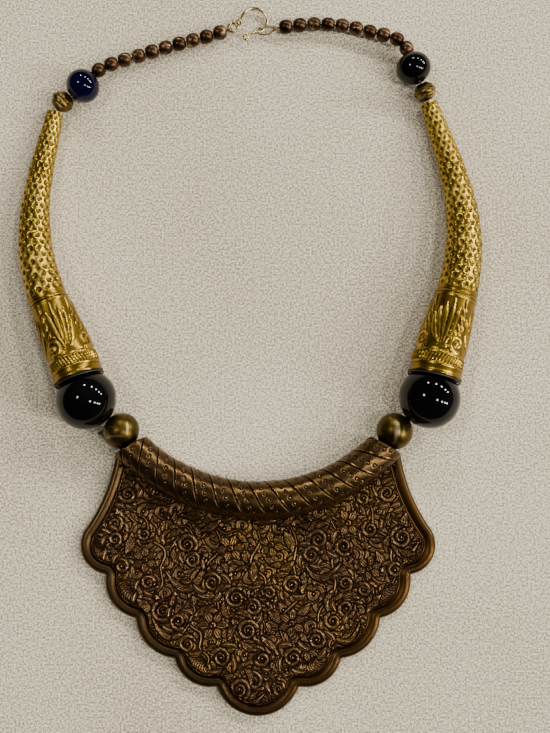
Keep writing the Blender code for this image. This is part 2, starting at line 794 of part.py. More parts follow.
def place_side(side, plan, ball, turn):
    moved = {key: placed(plan[key], side, ball, turn) for key in ("ball", "large", "cap", "upper")}
    moved["spacers"] = [placed(p, side, ball, turn) for p in plan["spacers"]]
    moved["horn_line"] = lambda share: placed(horn_centre(plan["horn"], share), side, ball, turn)
    return moved


# Horns


def horn_ring(line, share, radius):
    low, high = max(share - DIRECTION_SHARE, 0.0), min(share + DIRECTION_SHARE, 1.0)
    direction = (line(high) - line(low)).normalized()
    return ring_points(line(share), direction, radius, HORN_SIDES)


def horn_sheath(side, line):
    """Thin brass over the core, open at both ends, with raised bands near the mouth."""
    shares = [k / HORN_STEPS for k in range(HORN_STEPS + 1)]
    ridge_half = HORN_RIDGE_WIDTH / 2 / side.horn_length
    outer = [(share, 0.0) for share in shares]
    for ridge in HORN_RIDGES:
        at = 1.0 - ridge
        outer += [(at - ridge_half, 0.0), (at, HORN_RIDGE_HEIGHT), (at + ridge_half, 0.0)]
    outer.sort()
    rings = [horn_ring(line, share, horn_girth(side, share) / 2 + rise) for share, rise in outer]
    rings += [horn_ring(line, share, horn_girth(side, share) / 2 - HORN_WALL) for share in reversed(shares)]
    return add_piece(f"{side.name}_horn_sheath", loft(rings, closed=True), "gilt_brass")


def core_outer(side, share):
    return horn_girth(side, share) / 2 - HORN_WALL - PIECE_GAP


def horn_core(side, line):
    """Dark core inside the sheath, hollow from the mouth, with a lip that shows past the sheath."""
    shares = [k / CORE_STEPS for k in range(CORE_STEPS + 1)]
    lip_radius = side.mouth_diameter / 2 - CORE_LIP_INSET
    end_direction = (line(1.0) - line(1.0 - DIRECTION_SHARE)).normalized()
    mouth = line(1.0)

    def lip_ring(distance, radius):
        return ring_points(mouth + end_direction * distance, end_direction, radius, HORN_SIDES)

    rings = [horn_ring(line, share, core_outer(side, share)) for share in shares]
    rings.append(lip_ring(PIECE_GAP, core_outer(side, 1.0)))
    rings.append(lip_ring(PIECE_GAP, lip_radius))
    rings.append(lip_ring(PIECE_GAP + CORE_LIP_LENGTH, lip_radius))
    rings.append(lip_ring(PIECE_GAP + CORE_LIP_LENGTH, cup_radius(side)))
    behind_lip = 1.0 - PIECE_GAP / side.horn_length
    cup_bottom = 1.0 - CORE_CUP_DEPTH / side.horn_length
    rings.append(horn_ring(line, behind_lip, core_outer(side, behind_lip) - CORE_WALL))
    bore_shares = [cup_bottom * (1 - k / CORE_BORE_STEPS) for k in range(CORE_BORE_STEPS + 1)]
    rings += [horn_ring(line, share, CORE_BORE_DIAMETER / 2) for share in bore_shares]
    return add_piece(f"{side.name}_horn_core", loft(rings, closed=True), "dark_core")


# Cord and clasp


def between(one, half_one, other, half_other):
    """The point where the cord crosses from one bead to the next."""
    return one + (other - one) * half_one / (half_one + half_other)


def bead_joints(side, plan):
    """The cord's crossings on one side, from the ball's outer joint to the last spacer's far mouth."""
    ball, large, cap, upper = (plan[key] for key in ("ball", "large", "cap", "upper"))
    spacers = plan["spacers"]
    half = SPACER_LENGTH / 2
    joints = {
        "ball_large": between(ball, side.ball_length / 2, large, side.large_length / 2),
        "narrow_cap": between(plan["horn_line"](0.0), PIECE_GAP, cap, side.cap_length / 2),
        "cap_upper": between(cap, side.cap_length / 2, upper, side.upper_length / 2),
        "upper_spacer": between(upper, side.upper_length / 2, spacers[0], half),
    }
    joints["spacers"] = [between(a, half, b, half) for a, b in zip(spacers, spacers[1:])]
    return joints


def large_bead_axis(side, plan, joints):
    """The large bead's bore leans from the ball's joint a little towards the horn's mouth."""
    to_mouth = (plan["horn_line"](1 - END_SHARE) - plan["large"]).normalized()
    from_ball = (plan["large"] - joints["ball_large"]).normalized()
    return (from_ball + to_mouth * LARGE_BORE_LEAN).normalized()


def side_cord(side, plan, joints):
    """The cord's points from the large bead to the last spacer joint."""
    line = plan["horn_line"]
    axis = large_bead_axis(side, plan, joints)
    points = [plan["ball"], joints["ball_large"], plan["large"]]
    points.append(plan["large"] + axis * (side.large_diameter / 2 + PIECE_GAP))
    cup_bottom = 1.0 - CORE_CUP_DEPTH / side.horn_length
    points += [line(cup_bottom * (1 - k / HORN_CORD_STEPS)) for k in range(HORN_CORD_STEPS + 1)]
    points += [joints["narrow_cap"], plan["cap"], joints["cap_upper"], plan["upper"], joints["upper_spacer"]]
    return points + joints["spacers"]


def tube_cord(left, right, left_joints, right_joints):
    """The cord's points inside the tube, from the left ball's inner mouth to the right ball's."""
    swing = TUBE_HALF_ANGLE * TUBE_CORD_REACH
    points = [tube_point(-swing + 2 * swing * k / TUBE_CORD_STEPS) for k in range(TUBE_CORD_STEPS + 1)]
    points.insert(0, ball_inner_mouth(LEFT, left, left_joints))
    points.append(ball_inner_mouth(RIGHT, right, right_joints))
    return points


def ball_inner_mouth(side, plan, joints):
    away = (plan["ball"] - joints["ball_large"]).normalized()
    return plan["ball"] + away * (side.ball_length / 2 + CORD_DIAMETER / 2)


def add_strung_beads(side, plan, joints):
    name = side.name
    ball_axis = (joints["ball_large"] - plan["ball"]).normalized()
    drilled_bead(
        f"{name}_ball_bead",
        side.ball_diameter,
        side.ball_length,
        BALL_BORE_DIAMETER,
        plan["ball"],
        ball_axis,
        "ball_brass",
        sides=14,
        steps=9,
    )
    drilled_bead(
        f"{name}_large_bead",
        side.large_diameter,
        side.large_length,
        LARGE_BEAD_BORE_DIAMETER,
        plan["large"],
        large_bead_axis(side, plan, joints),
        "black_glass",
        sides=16,
        steps=10,
    )
    drilled_bead(
        f"{name}_cap_bead",
        side.cap_diameter,
        side.cap_length,
        CAP_BEAD_BORE_DIAMETER,
        plan["cap"],
        (joints["cap_upper"] - joints["narrow_cap"]).normalized(),
        "ball_brass",
        sides=12,
        steps=7,
    )
    drilled_bead(
        f"{name}_upper_bead",
        side.upper_diameter,
        side.upper_length,
        UPPER_BEAD_BORE_DIAMETER,
        plan["upper"],
        (joints["upper_spacer"] - joints["cap_upper"]).normalized(),
        side.upper_finish,
        sides=14,
        steps=8,
    )
    crossings = [joints["upper_spacer"], *joints["spacers"]]
    for k, centre in enumerate(plan["spacers"]):
        axis = centre - crossings[k] if k + 1 == len(plan["spacers"]) else crossings[k + 1] - crossings[k]
        drilled_bead(
            f"{name}_spacer_{k + 1:02d}",
            SPACER_DIAMETER,
            SPACER_LENGTH,
            SPACER_BORE_DIAMETER,
            centre,
            axis.normalized(),
            "spacer_bronze",
            sides=10,
            steps=5,
        )


def eye_turn(spacer, joint):
    """The cord's end round the clasp's eye: out of the last spacer over the wire and back in underneath."""
    out = (spacer - joint).normalized()
    wire = spacer + out * (SPACER_LENGTH / 2 + EYE_STAND_OFF)
    up = Vector((0, 0, 1))
    radius = (EYE_WIRE_DIAMETER + CORD_DIAMETER) / 2 + PIECE_GAP
    half = DOUBLED_CORD_SPREAD / 2
    inside = spacer - out * SPACER_LENGTH * EYE_TURN_ROOT
    mouth = spacer + out * SPACER_LENGTH * EYE_TURN_MOUTH
    points = [inside + up * half, mouth + up * half]
    for degrees in (100, 60, 20, -20, -60, -100):
        a = math.radians(degrees)
        points.append(wire + out * radius * math.cos(a) + up * radius * math.sin(a))
    points += [mouth - up * half, inside - up * half]
    return points


def hook_frame(eye_world, turn, catch_height):
    """Maps the hook's own plan to the necklace's frame. The hook leans down from the eye to the catch."""
    reach = hook_catch().x

    def mapped(point):
        flat = Matrix.Rotation(turn, 3, "Z") @ Vector((point.x, point.y, 0.0))
        drop = (catch_height - eye_world.z) * point.x / reach
        return Vector((eye_world.x + flat.x, eye_world.y + flat.y, eye_world.z + drop + point.z))

    return mapped


def hook_line():
    """The hook's wire in its own plan: up from the eye, round the bow and out to a small curl."""
    shank = [heading_vector(row.heading) * EYE_RADIUS * row.eye_radii for row in HOOK_SHANK]
    bow = [hook_plan_point(degrees) for degrees in sweep_headings(HOOK_BOW)]
    curl = []
    for k, degrees in enumerate(sweep_headings(HOOK_CURL)):
        closing = 1 - HOOK_CURL_CLOSING * k / (len(sweep_headings(HOOK_CURL)) - 1)
        curl.append(sweep_centre(HOOK_CURL) + heading_vector(degrees) * HOOK_CURL_RADIUS * closing)
    return smooth_path(shank + bow + curl, HOOK_WIRE_DIAMETER * HOOK_STEP)


def clasp_hook(mapped):
    """The hook's wire with its eye, and the eye's wire wrapped round the shank, as one body."""
    line = hook_line()
    widths = [1.0 if k < len(line) * HOOK_THIN_FROM else HOOK_THIN_SHARE for k in range(len(line))]
    wire = wire_bmesh([mapped(p) for p in line], HOOK_WIRE_DIAMETER, HOOK_SIDES, widths)
    hook = add_piece("clasp_hook", wire, "hook_wire")
    turns = [mapped(heading_vector(360 * k / EYE_POINTS) * EYE_RADIUS) for k in range(EYE_POINTS)]
    combine(hook, ring_piece("eye", turns, EYE_WIRE_DIAMETER), "UNION")
    along, across = heading_vector(WRAP_HEADING), heading_vector(WRAP_HEADING + WRAP_LEAN)
    wrap_radius = (HOOK_WIRE_DIAMETER + EYE_WIRE_DIAMETER) / 2 * WRAP_CLOSENESS
    for k in range(HOOK_WRAP_TURNS):
        centre = along * (EYE_RADIUS + EYE_WIRE_DIAMETER * (WRAP_START + WRAP_PITCH * k))
        circle = [mapped(p) for p in ring_points(centre, across, wrap_radius, WRAP_POINTS)]
        combine(hook, ring_piece("wrap", circle, EYE_WIRE_DIAMETER), "UNION")
    return hook


def ring_piece(name, points, diameter):
    """A closed ring of round wire through points."""
    rings = []
    for k, point in enumerate(points):
        direction = (points[(k + 1) % len(points)] - points[k - 1]).normalized()
        middle = sum(points, Vector()) / len(points)
        out = (point - middle).normalized()
        up = direction.cross(out).normalized()
        turns = [2 * math.pi * j / HOOK_SIDES for j in range(HOOK_SIDES)]
        rings.append([point + diameter / 2 * (out * math.cos(a) + up * math.sin(a)) for a in turns])
    return add_piece(name, loft(rings, closed=True), "hook_wire")


def catch_turn(mapped, knot):
    """The loop's half turn round the hook's wire: over it on the bow's side, under it on the curl's side."""
    centre = mapped(hook_catch())
    ahead, behind = (hook_plan_point(CATCH_HEADING + turn) for turn in (-CATCH_HALF_SPAN, CATCH_HALF_SPAN))
    wire = (mapped(ahead) - mapped(behind)).normalized()
    up = Vector((0, 0, 1))
    away = up.cross(wire).normalized()
    if away.dot(knot - centre) > 0:
        away = -away
    radius = (HOOK_WIRE_DIAMETER + CORD_DIAMETER) / 2 + PIECE_GAP
    points = []
    for k in range(CATCH_STEPS + 1):
        a = math.pi * k / CATCH_STEPS
        shift = wire * CATCH_LENGTH * (k / CATCH_STEPS - 0.5)
        points.append(centre + shift + radius * (up * math.cos(a) + away * math.sin(a)))
    return points


def stringing_cord(left, right, left_joints, right_joints, knot, mapped):
    """One cord from the hook's eye, through every bead, horn and the tube, to the knot and its loop."""
    left_run = list(reversed(side_cord(LEFT, left, left_joints)[:-1]))
    tube_run = tube_cord(left, right, left_joints, right_joints)
    right_run = side_cord(RIGHT, right, right_joints)
    turn = eye_turn(left["spacers"][-1], left_joints["spacers"][-1])
    run = list(reversed(turn[:-1])) + [left_joints["spacers"][-1]] + left_run + tube_run + right_run
    end_spacer = right["spacers"][-1]
    run += [end_spacer + (knot - end_spacer).normalized() * SPACER_LENGTH / 2, knot]
    cord = add_piece("stringing_cord", wire_bmesh(run, CORD_DIAMETER, CORD_SIDES), "cord")
    catch = catch_turn(mapped, knot)
    pull = (catch[0] + catch[-1]) / 2 - knot
    spread = Vector((-pull.y, pull.x, 0.0)).normalized() * LOOP_SPREAD
    going, coming = knot + pull * LOOP_WAIST - spread, knot + pull * LOOP_WAIST + spread
    going.z, coming.z = (knot.z + catch[0].z) / 2, (knot.z + catch[-1].z) / 2
    loop_points = smooth_path([knot, going, *catch, coming, knot], CORD_DIAMETER * LOOP_STEP)
    loop = add_piece("loop", wire_bmesh(loop_points[:-1], CORD_DIAMETER, CORD_SIDES), "cord")
    combine(cord, loop, "UNION")
    bm = bmesh.new()
    bmesh.ops.create_icosphere(bm, subdivisions=1, radius=KNOT_DIAMETER / 2, matrix=Matrix.Translation(knot))
    combine(cord, add_piece("knot", bm, "cord"), "UNION")
    return cord


def stand_on_origin():
    """Moves every piece so that the origin is under the middle of the whole, on the table."""
    bpy.context.view_layer.update()
    pieces = [o for o in bpy.context.scene.objects if o.type == "MESH"]
    corners = [o.matrix_world @ v.co for o in pieces for v in o.data.vertices]
    low = Vector([min(c[axis] for c in corners) for axis in range(3)])
    high = Vector([max(c[axis] for c in corners) for axis in range(3)])
    shift = Vector((-(low.x + high.x) / 2, -(low.y + high.y) / 2, -low.z))
    for piece in pieces:
        piece.location += shift


def main():
    clear_scene()
    bib_pendant()
    plans = {side.name: lay_side(side) for side in (LEFT, RIGHT)}
    balls = {}
    for side in (LEFT, RIGHT):
        centre, normal = tube_end(side.mirror)
        balls[side.name] = off_ring(centre, normal, TUBE_BORE_DIAMETER / 2, normal, side.ball_diameter / 2)
    left_turn, right_turn, eye, knot = close_the_loop(plans["left"], plans["right"], balls["left"], balls["right"])
    left = place_side(LEFT, plans["left"], balls["left"], left_turn)
    right = place_side(RIGHT, plans["right"], balls["right"], right_turn)
    left_joints, right_joints = bead_joints(LEFT, left), bead_joints(RIGHT, right)
    for side, plan, joints in ((LEFT, left, left_joints), (RIGHT, right, right_joints)):
        add_strung_beads(side, plan, joints)
        horn_sheath(side, plan["horn_line"])
        horn_core(side, plan["horn_line"])
    eye_world = placed(eye, LEFT, balls["left"], left_turn)
    knot_world = placed(knot, RIGHT, balls["right"], right_turn)
    catch_height = (HOOK_WIRE_DIAMETER + CORD_DIAMETER) / 2 + PIECE_GAP + CORD_DIAMETER / 2 + PIECE_GAP
    mapped = hook_frame(eye_world, left_turn, catch_height)
    clasp_hook(mapped)
    stringing_cord(left, right, left_joints, right_joints, knot_world, mapped)
    stand_on_origin()


main()
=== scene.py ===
import math
import random

import bpy
import numpy as np
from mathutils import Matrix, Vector


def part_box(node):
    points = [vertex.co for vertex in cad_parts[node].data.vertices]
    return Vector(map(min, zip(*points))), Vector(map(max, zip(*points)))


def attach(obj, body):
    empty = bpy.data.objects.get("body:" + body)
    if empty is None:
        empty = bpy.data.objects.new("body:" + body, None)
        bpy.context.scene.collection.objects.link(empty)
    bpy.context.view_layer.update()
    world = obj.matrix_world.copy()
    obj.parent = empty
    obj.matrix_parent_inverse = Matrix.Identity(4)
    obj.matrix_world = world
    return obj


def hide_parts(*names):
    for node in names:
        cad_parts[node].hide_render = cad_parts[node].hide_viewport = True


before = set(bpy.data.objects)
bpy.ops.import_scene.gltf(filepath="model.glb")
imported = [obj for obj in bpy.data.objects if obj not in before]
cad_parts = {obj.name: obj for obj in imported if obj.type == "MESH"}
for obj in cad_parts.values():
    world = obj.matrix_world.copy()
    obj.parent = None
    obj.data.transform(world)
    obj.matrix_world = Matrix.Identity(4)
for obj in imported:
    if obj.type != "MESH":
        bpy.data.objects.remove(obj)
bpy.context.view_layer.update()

mm = 0.001


# Small helpers for working on one object at a time

def letGo():
    if bpy.context.object and bpy.context.object.mode != "OBJECT":
        bpy.ops.object.mode_set(mode="OBJECT")
    bpy.ops.object.select_all(action="DESELECT")


def takeUp(piece):
    letGo()
    piece.select_set(True)
    bpy.context.view_layer.objects.active = piece


def workOn(piece, kind="VERT"):
    takeUp(piece)
    bpy.ops.object.mode_set(mode="EDIT")
    bpy.ops.mesh.select_mode(type=kind)


def stopWork():
    bpy.ops.object.mode_set(mode="OBJECT")


def workOnly(piece, kind, chosen):
    # opens a piece for work with only the chosen vertices, edges or faces selected
    workOn(piece, kind)
    stopWork()
    groups = {"VERT": piece.data.vertices, "EDGE": piece.data.edges, "FACE": piece.data.polygons}
    for group in groups.values():
        group.foreach_set("select", np.zeros(len(group), bool))
    groups[kind].foreach_set("select", np.asarray(chosen, bool))
    bpy.ops.object.mode_set(mode="EDIT")


def points(piece):
    flat = np.zeros(len(piece.data.vertices) * 3, np.float32)
    piece.data.vertices.foreach_get("co", flat)
    return flat.reshape(-1, 3).astype(float)


def movePoints(piece, places):
    piece.data.vertices.foreach_set("co", np.asarray(places, np.float32).ravel())
    piece.data.update()


def edgeEnds(piece):
    ends = np.zeros(len(piece.data.edges) * 2, np.int32)
    piece.data.edges.foreach_get("vertices", ends)
    return ends.reshape(-1, 2)


def note(piece, name, values):
    # a number for each vertex, which a finish reads as an attribute
    found = piece.data.attributes.get(name) or piece.data.attributes.new(name, "FLOAT", "POINT")
    found.data.foreach_set("value", np.asarray(values, np.float32))


def readNote(piece, name):
    values = np.zeros(len(piece.data.vertices), np.float32)
    piece.data.attributes[name].data.foreach_get("value", values)
    return values


def within(places, node):
    # holds places inside the box of the solid that they dress
    low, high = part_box(node)
    return np.clip(places, np.array(low), np.array(high))


def faceOutwards(piece):
    workOn(piece)
    bpy.ops.mesh.select_all(action="SELECT")
    bpy.ops.mesh.normals_make_consistent(inside=False)
    stopWork()


def smoothUpTo(piece, degrees):
    takeUp(piece)
    bpy.ops.object.shade_smooth_by_angle(angle=math.radians(degrees))


def handOver(piece, name, finish, slotName, *nodes):
    piece.name = name
    piece.data.name = name
    piece.data.materials.clear()
    piece.data.materials.append(finish.material)
    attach(piece, "root")
    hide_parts(*nodes)
    print("made", name, len(piece.data.polygons), "faces")
    return piece


def stepUp(low, high, value):
    share = np.clip((value - low) / (high - low), 0.0, 1.0)
    return share * share * (3 - 2 * share)


def smoothCurve(keys, values, at):
    # a smooth curve through a few values
    keys, values, at = (np.asarray(group, float) for group in (keys, values, at))
    slopes = np.gradient(values)
    for number in range(len(keys)):
        low, high = max(number - 1, 0), min(number + 1, len(keys) - 1)
        slopes[number] = (values[high] - values[low]) / (keys[high] - keys[low])
    index = np.clip(np.searchsorted(keys, at) - 1, 0, len(keys) - 2)
    span = keys[index + 1] - keys[index]
    t = (at - keys[index]) / span
    rise = values[index + 1] - values[index]
    start, end = slopes[index] * span, slopes[index + 1] * span
    bend, twist = 3 * rise - 2 * start - end, start + end - 2 * rise
    return values[index] + start * t + bend * t**2 + twist * t**3


def ridge(distance, halfWidth):
    return np.exp(-((distance / halfWidth) ** 2))


# Shader maths: a Socket is one value of a finish, and a Finish is the bench where its nodes are made

class Socket:
    def __init__(self, finish, end):
        self.finish, self.end = finish, end

    def maths(self, operation, first, second=0.0):
        return self.finish.node("ShaderNodeMath", {"operation": operation}, {0: first, 1: second})

    def __add__(self, other):
        return self.maths("ADD", self, other)

    def __radd__(self, other):
        return self.maths("ADD", other, self)

    def __sub__(self, other):
        return self.maths("SUBTRACT", self, other)

    def __rsub__(self, other):
        return self.maths("SUBTRACT", other, self)

    def __mul__(self, other):
        return self.maths("MULTIPLY", self, other)

    def __rmul__(self, other):
        return self.maths("MULTIPLY", other, self)

    def between(self, low, high):
        stops = {"interpolation_type": "SMOOTHSTEP"}
        return self.finish.node("ShaderNodeMapRange", stops, {0: self, 1: low, 2: high, 3: 0.0, 4: 1.0})


class Finish:
    def __init__(self, name, **constants):
        self.material = bpy.data.materials.new(name)
        self.material.use_nodes = True
        self.tree = self.material.node_tree
        self.shader = self.tree.nodes["Principled BSDF"]
        for key, value in constants.items():
            self.shader.inputs[key.replace("_", " ")].default_value = value

    def node(self, kind, settings=None, inputs=None, output=0):
        made = self.tree.nodes.new(kind)
        for key, value in (settings or {}).items():
            if key == "stops":
                self.setStops(made.color_ramp.elements, value)
            else:
                setattr(made, key, value)
        for key, value in (inputs or {}).items():
            self.join(value, made.inputs[key])
        return Socket(self, made.outputs[output])

    def setStops(self, elements, stops):
        while len(elements) < len(stops):
            elements.new(0.5)
        for element, (place, colour) in zip(elements, stops):
            element.position = place
            element.color = (*colour, 1.0)

    def join(self, value, socket):
        if isinstance(value, Socket):
            self.tree.links.new(value.end, socket)
        else:
            socket.default_value = value

    def put(self, **values):
        for key, value in values.items():
            self.join(value, self.shader.inputs[key.replace("_", " ")])
        return self

    def place(self):
        return self.node("ShaderNodeTexCoord", output=3)

    def axis(self, number):
        return self.node("ShaderNodeSeparateXYZ", inputs={0: self.place()}, output=number)

    def stretched(self, scale, turn=0.0):
        return self.node("ShaderNodeMapping", inputs={0: self.place(), 2: (0.0, 0.0, turn), 3: scale})

    def noise(self, scale, detail=3.0, rough=0.55, at=None):
        found = {0: at or self.place(), 2: scale, 3: detail, 4: rough}
        return self.node("ShaderNodeTexNoise", inputs=found)

    def cells(self, scale, at=None):
        return self.node("ShaderNodeTexVoronoi", inputs={0: at or self.place(), 2: scale})

    def noted(self, name):
        return self.node("ShaderNodeAttribute", {"attribute_name": name}, output=2)

    def ramp(self, value, *stops):
        return self.node("ShaderNodeValToRGB", {"stops": stops}, {0: value})

    def mix(self, share, one, other, blend="MIX"):
        colours = [c if isinstance(c, Socket) else (*c, 1.0) for c in (one, other)]
        settings = {"data_type": "RGBA", "blend_type": blend}
        return self.node("ShaderNodeMix", settings, {0: share, 6: colours[0], 7: colours[1]}, output=2)

    def bump(self, height, strength, distance):
        inputs = {"Strength": strength, "Distance": distance, "Height": height}
        return self.put(Normal=self.node("ShaderNodeBump", inputs=inputs))


# Finishes

def agedBronze(name, worn, tint, roughness):
    # red-brown bronze: black in the recesses, rubbed pink and gold on the crests
    finish = Finish(name, Metallic=1.0)
    crest = finish.noted("worn")
    cloud = finish.noise(120.0, 4.0)
    fine = finish.noise(900.0, 3.0, 0.6)
    rub = crest + (cloud - 0.5) * 0.22 + (fine - 0.5) * 0.16
    dark = finish.ramp(rub, *worn)
    gold = finish.noise(42.0, 2.0, at=finish.stretched((1.0, 1.3, 1.0)))
    share = gold.between(0.47, 0.66) * crest.between(0.42, 0.9)
    colour = finish.mix(share * 0.75, dark, tint)
    return finish.put(
        Base_Color=colour,
        Metallic=0.62 + crest.between(0.15, 0.55) * 0.36,
        Roughness=roughness + 0.16 - crest * 0.20 + (fine - 0.5) * 0.18,
    ).bump(fine, 0.25, 0.00012)


def fieldBronze():
    stops = (
        (0.0, (0.010, 0.0055, 0.003)),
        (0.28, (0.038, 0.019, 0.008)),
        (0.52, (0.080, 0.042, 0.019)),
        (0.78, (0.150, 0.086, 0.040)),
        (1.0, (0.360, 0.230, 0.130)),
    )
    return agedBronze("fieldBronze", stops, (0.28, 0.175, 0.045), 0.40)


def tubeBronze():
    stops = (
        (0.0, (0.006, 0.0035, 0.0015)),
        (0.25, (0.018, 0.009, 0.003)),
        (0.55, (0.072, 0.039, 0.014)),
        (0.85, (0.150, 0.091, 0.036)),
        (1.0, (0.400, 0.300, 0.180)),
    )
    return agedBronze("tubeBronze", stops, (0.110, 0.072, 0.017), 0.27)


def rimBronze():
    # the smooth rim, with painted light and shade: its colour goes by position from brown on the left to a
    # darker, redder brown towards the lower right, to match how the light falls on each side
    finish = Finish("rimBronze", Metallic=1.0)
    crest = finish.noted("worn")
    cloud = finish.noise(70.0, 4.0)
    fine = finish.noise(700.0, 3.0, 0.6)
    # painted shade: this share grows towards the lower right, where it darkens and reddens the rim's brown
    rightSideShade = (finish.axis(0) * 11.0 - finish.axis(1) * 6.0 + (cloud - 0.5) * 1.3).between(0.2, 1.35)
    brown = finish.mix(rightSideShade, (0.064, 0.038, 0.017), (0.046, 0.021, 0.005))
    rubbed = finish.mix(crest.between(0.55, 0.95) * (0.10 + cloud * 0.3), brown, (0.15, 0.094, 0.030))
    colour = finish.mix(1.0 - crest.between(0.05, 0.45), rubbed, (0.010, 0.006, 0.003))
    return finish.put(
        Base_Color=colour,
        Roughness=0.36 + (cloud - 0.5) * 0.24 + (fine - 0.5) * 0.14,
    ).bump(fine, 0.18, 0.0001)


def hornBrass():
    # bright yellow sheet, brown in the chased lines
    finish = Finish("hornBrass", Metallic=1.0)
    crest = finish.noted("worn")
    cloud = finish.noise(90.0, 4.0)
    fine = finish.noise(800.0, 3.0, 0.6)
    rub = crest + (cloud - 0.5) * 0.30
    colour = finish.ramp(
        rub,
        (0.0, (0.020, 0.011, 0.002)),
        (0.25, (0.095, 0.056, 0.007)),
        (0.5, (0.215, 0.132, 0.014)),
        (0.8, (0.350, 0.232, 0.028)),
        (1.0, (0.740, 0.550, 0.120)),
    )
    return finish.put(
        Base_Color=colour,
        Roughness=0.35 - crest * 0.10 + (cloud - 0.5) * 0.18,
    ).bump(fine, 0.12, 0.0001)


def scratchedBrass(name, dark, light, roughness):
    finish = Finish(name, Metallic=1.0)
    cloud = finish.noise(150.0, 4.0)
    scratch = finish.noise(420.0, 2.0, 0.5, at=finish.stretched((1.0, 0.12, 0.5), 0.6))
    cross = finish.noise(520.0, 2.0, 0.5, at=finish.stretched((0.12, 1.0, 0.5), 0.3))
    lines = scratch.between(0.58, 0.72) + cross.between(0.60, 0.74)
    shade = cloud.between(0.30, 0.72)
    colour = finish.mix(shade, dark, light)
    bright = finish.mix(lines * 0.35, colour, (0.75, 0.58, 0.34))
    return finish.put(
        Base_Color=bright,
        Roughness=roughness + (cloud - 0.5) * 0.18 + lines * 0.06,
    ).bump(lines, 0.12, 0.00008)


def polishedGlass(name, deep, lit):
    finish = Finish(name, Metallic=0.0, Roughness=0.04, IOR=1.32)
    cloud = finish.noise(60.0, 2.0)
    dust = finish.noise(1500.0, 2.0, 0.7)
    colour = finish.mix(cloud.between(0.35, 0.75), deep, lit)
    return finish.put(Base_Color=colour, Roughness=0.035 + dust.between(0.60, 0.80) * 0.10)


def darkHorn():
    finish = Finish("darkHorn", Metallic=0.0)
    grain = finish.noise(300.0, 4.0, at=finish.stretched((1.0, 0.15, 1.0)))
    colour = finish.mix(grain, (0.004, 0.0035, 0.003), (0.020, 0.014, 0.011))
    return finish.put(Base_Color=colour, Roughness=0.36 + grain * 0.2).bump(grain, 0.2, 0.0001)


def waxedCord():
    finish = Finish("waxedCord", Metallic=0.0)
    twist = finish.noise(2600.0, 2.0, 0.6, at=finish.stretched((1.0, 0.35, 1.0), 0.8))
    colour = finish.mix(twist, (0.075, 0.052, 0.022), (0.270, 0.205, 0.110))
    return finish.put(Base_Color=colour, Roughness=0.75 - twist * 0.2).bump(twist, 0.5, 0.00012)


finishes = {
    "field": fieldBronze(),
    "rim": rimBronze(),
    "tube": tubeBronze(),
    "horn": hornBrass(),
    "ball": scratchedBrass("ballBrass", (0.052, 0.034, 0.006), (0.130, 0.090, 0.019), 0.40),
    "cap": scratchedBrass("capBrass", (0.060, 0.039, 0.007), (0.185, 0.128, 0.028), 0.36),
    "spacer": scratchedBrass("spacerBronze", (0.036, 0.018, 0.009), (0.105, 0.060, 0.030), 0.36),
    "black": polishedGlass("blackGlass", (0.0012, 0.0012, 0.0014), (0.004, 0.004, 0.005)),
    "navy": polishedGlass("navyGlass", (0.0006, 0.0008, 0.009), (0.0015, 0.002, 0.036)),
    "core": darkHorn(),
    "cord": waxedCord(),
    "hook": scratchedBrass("hookBrass", (0.420, 0.330, 0.130), (0.720, 0.600, 0.330), 0.22),
}
print("finishes ready")


# Chased ornament: a Sheet holds heights in millimetres on an even grid, and each stroke goes over the last

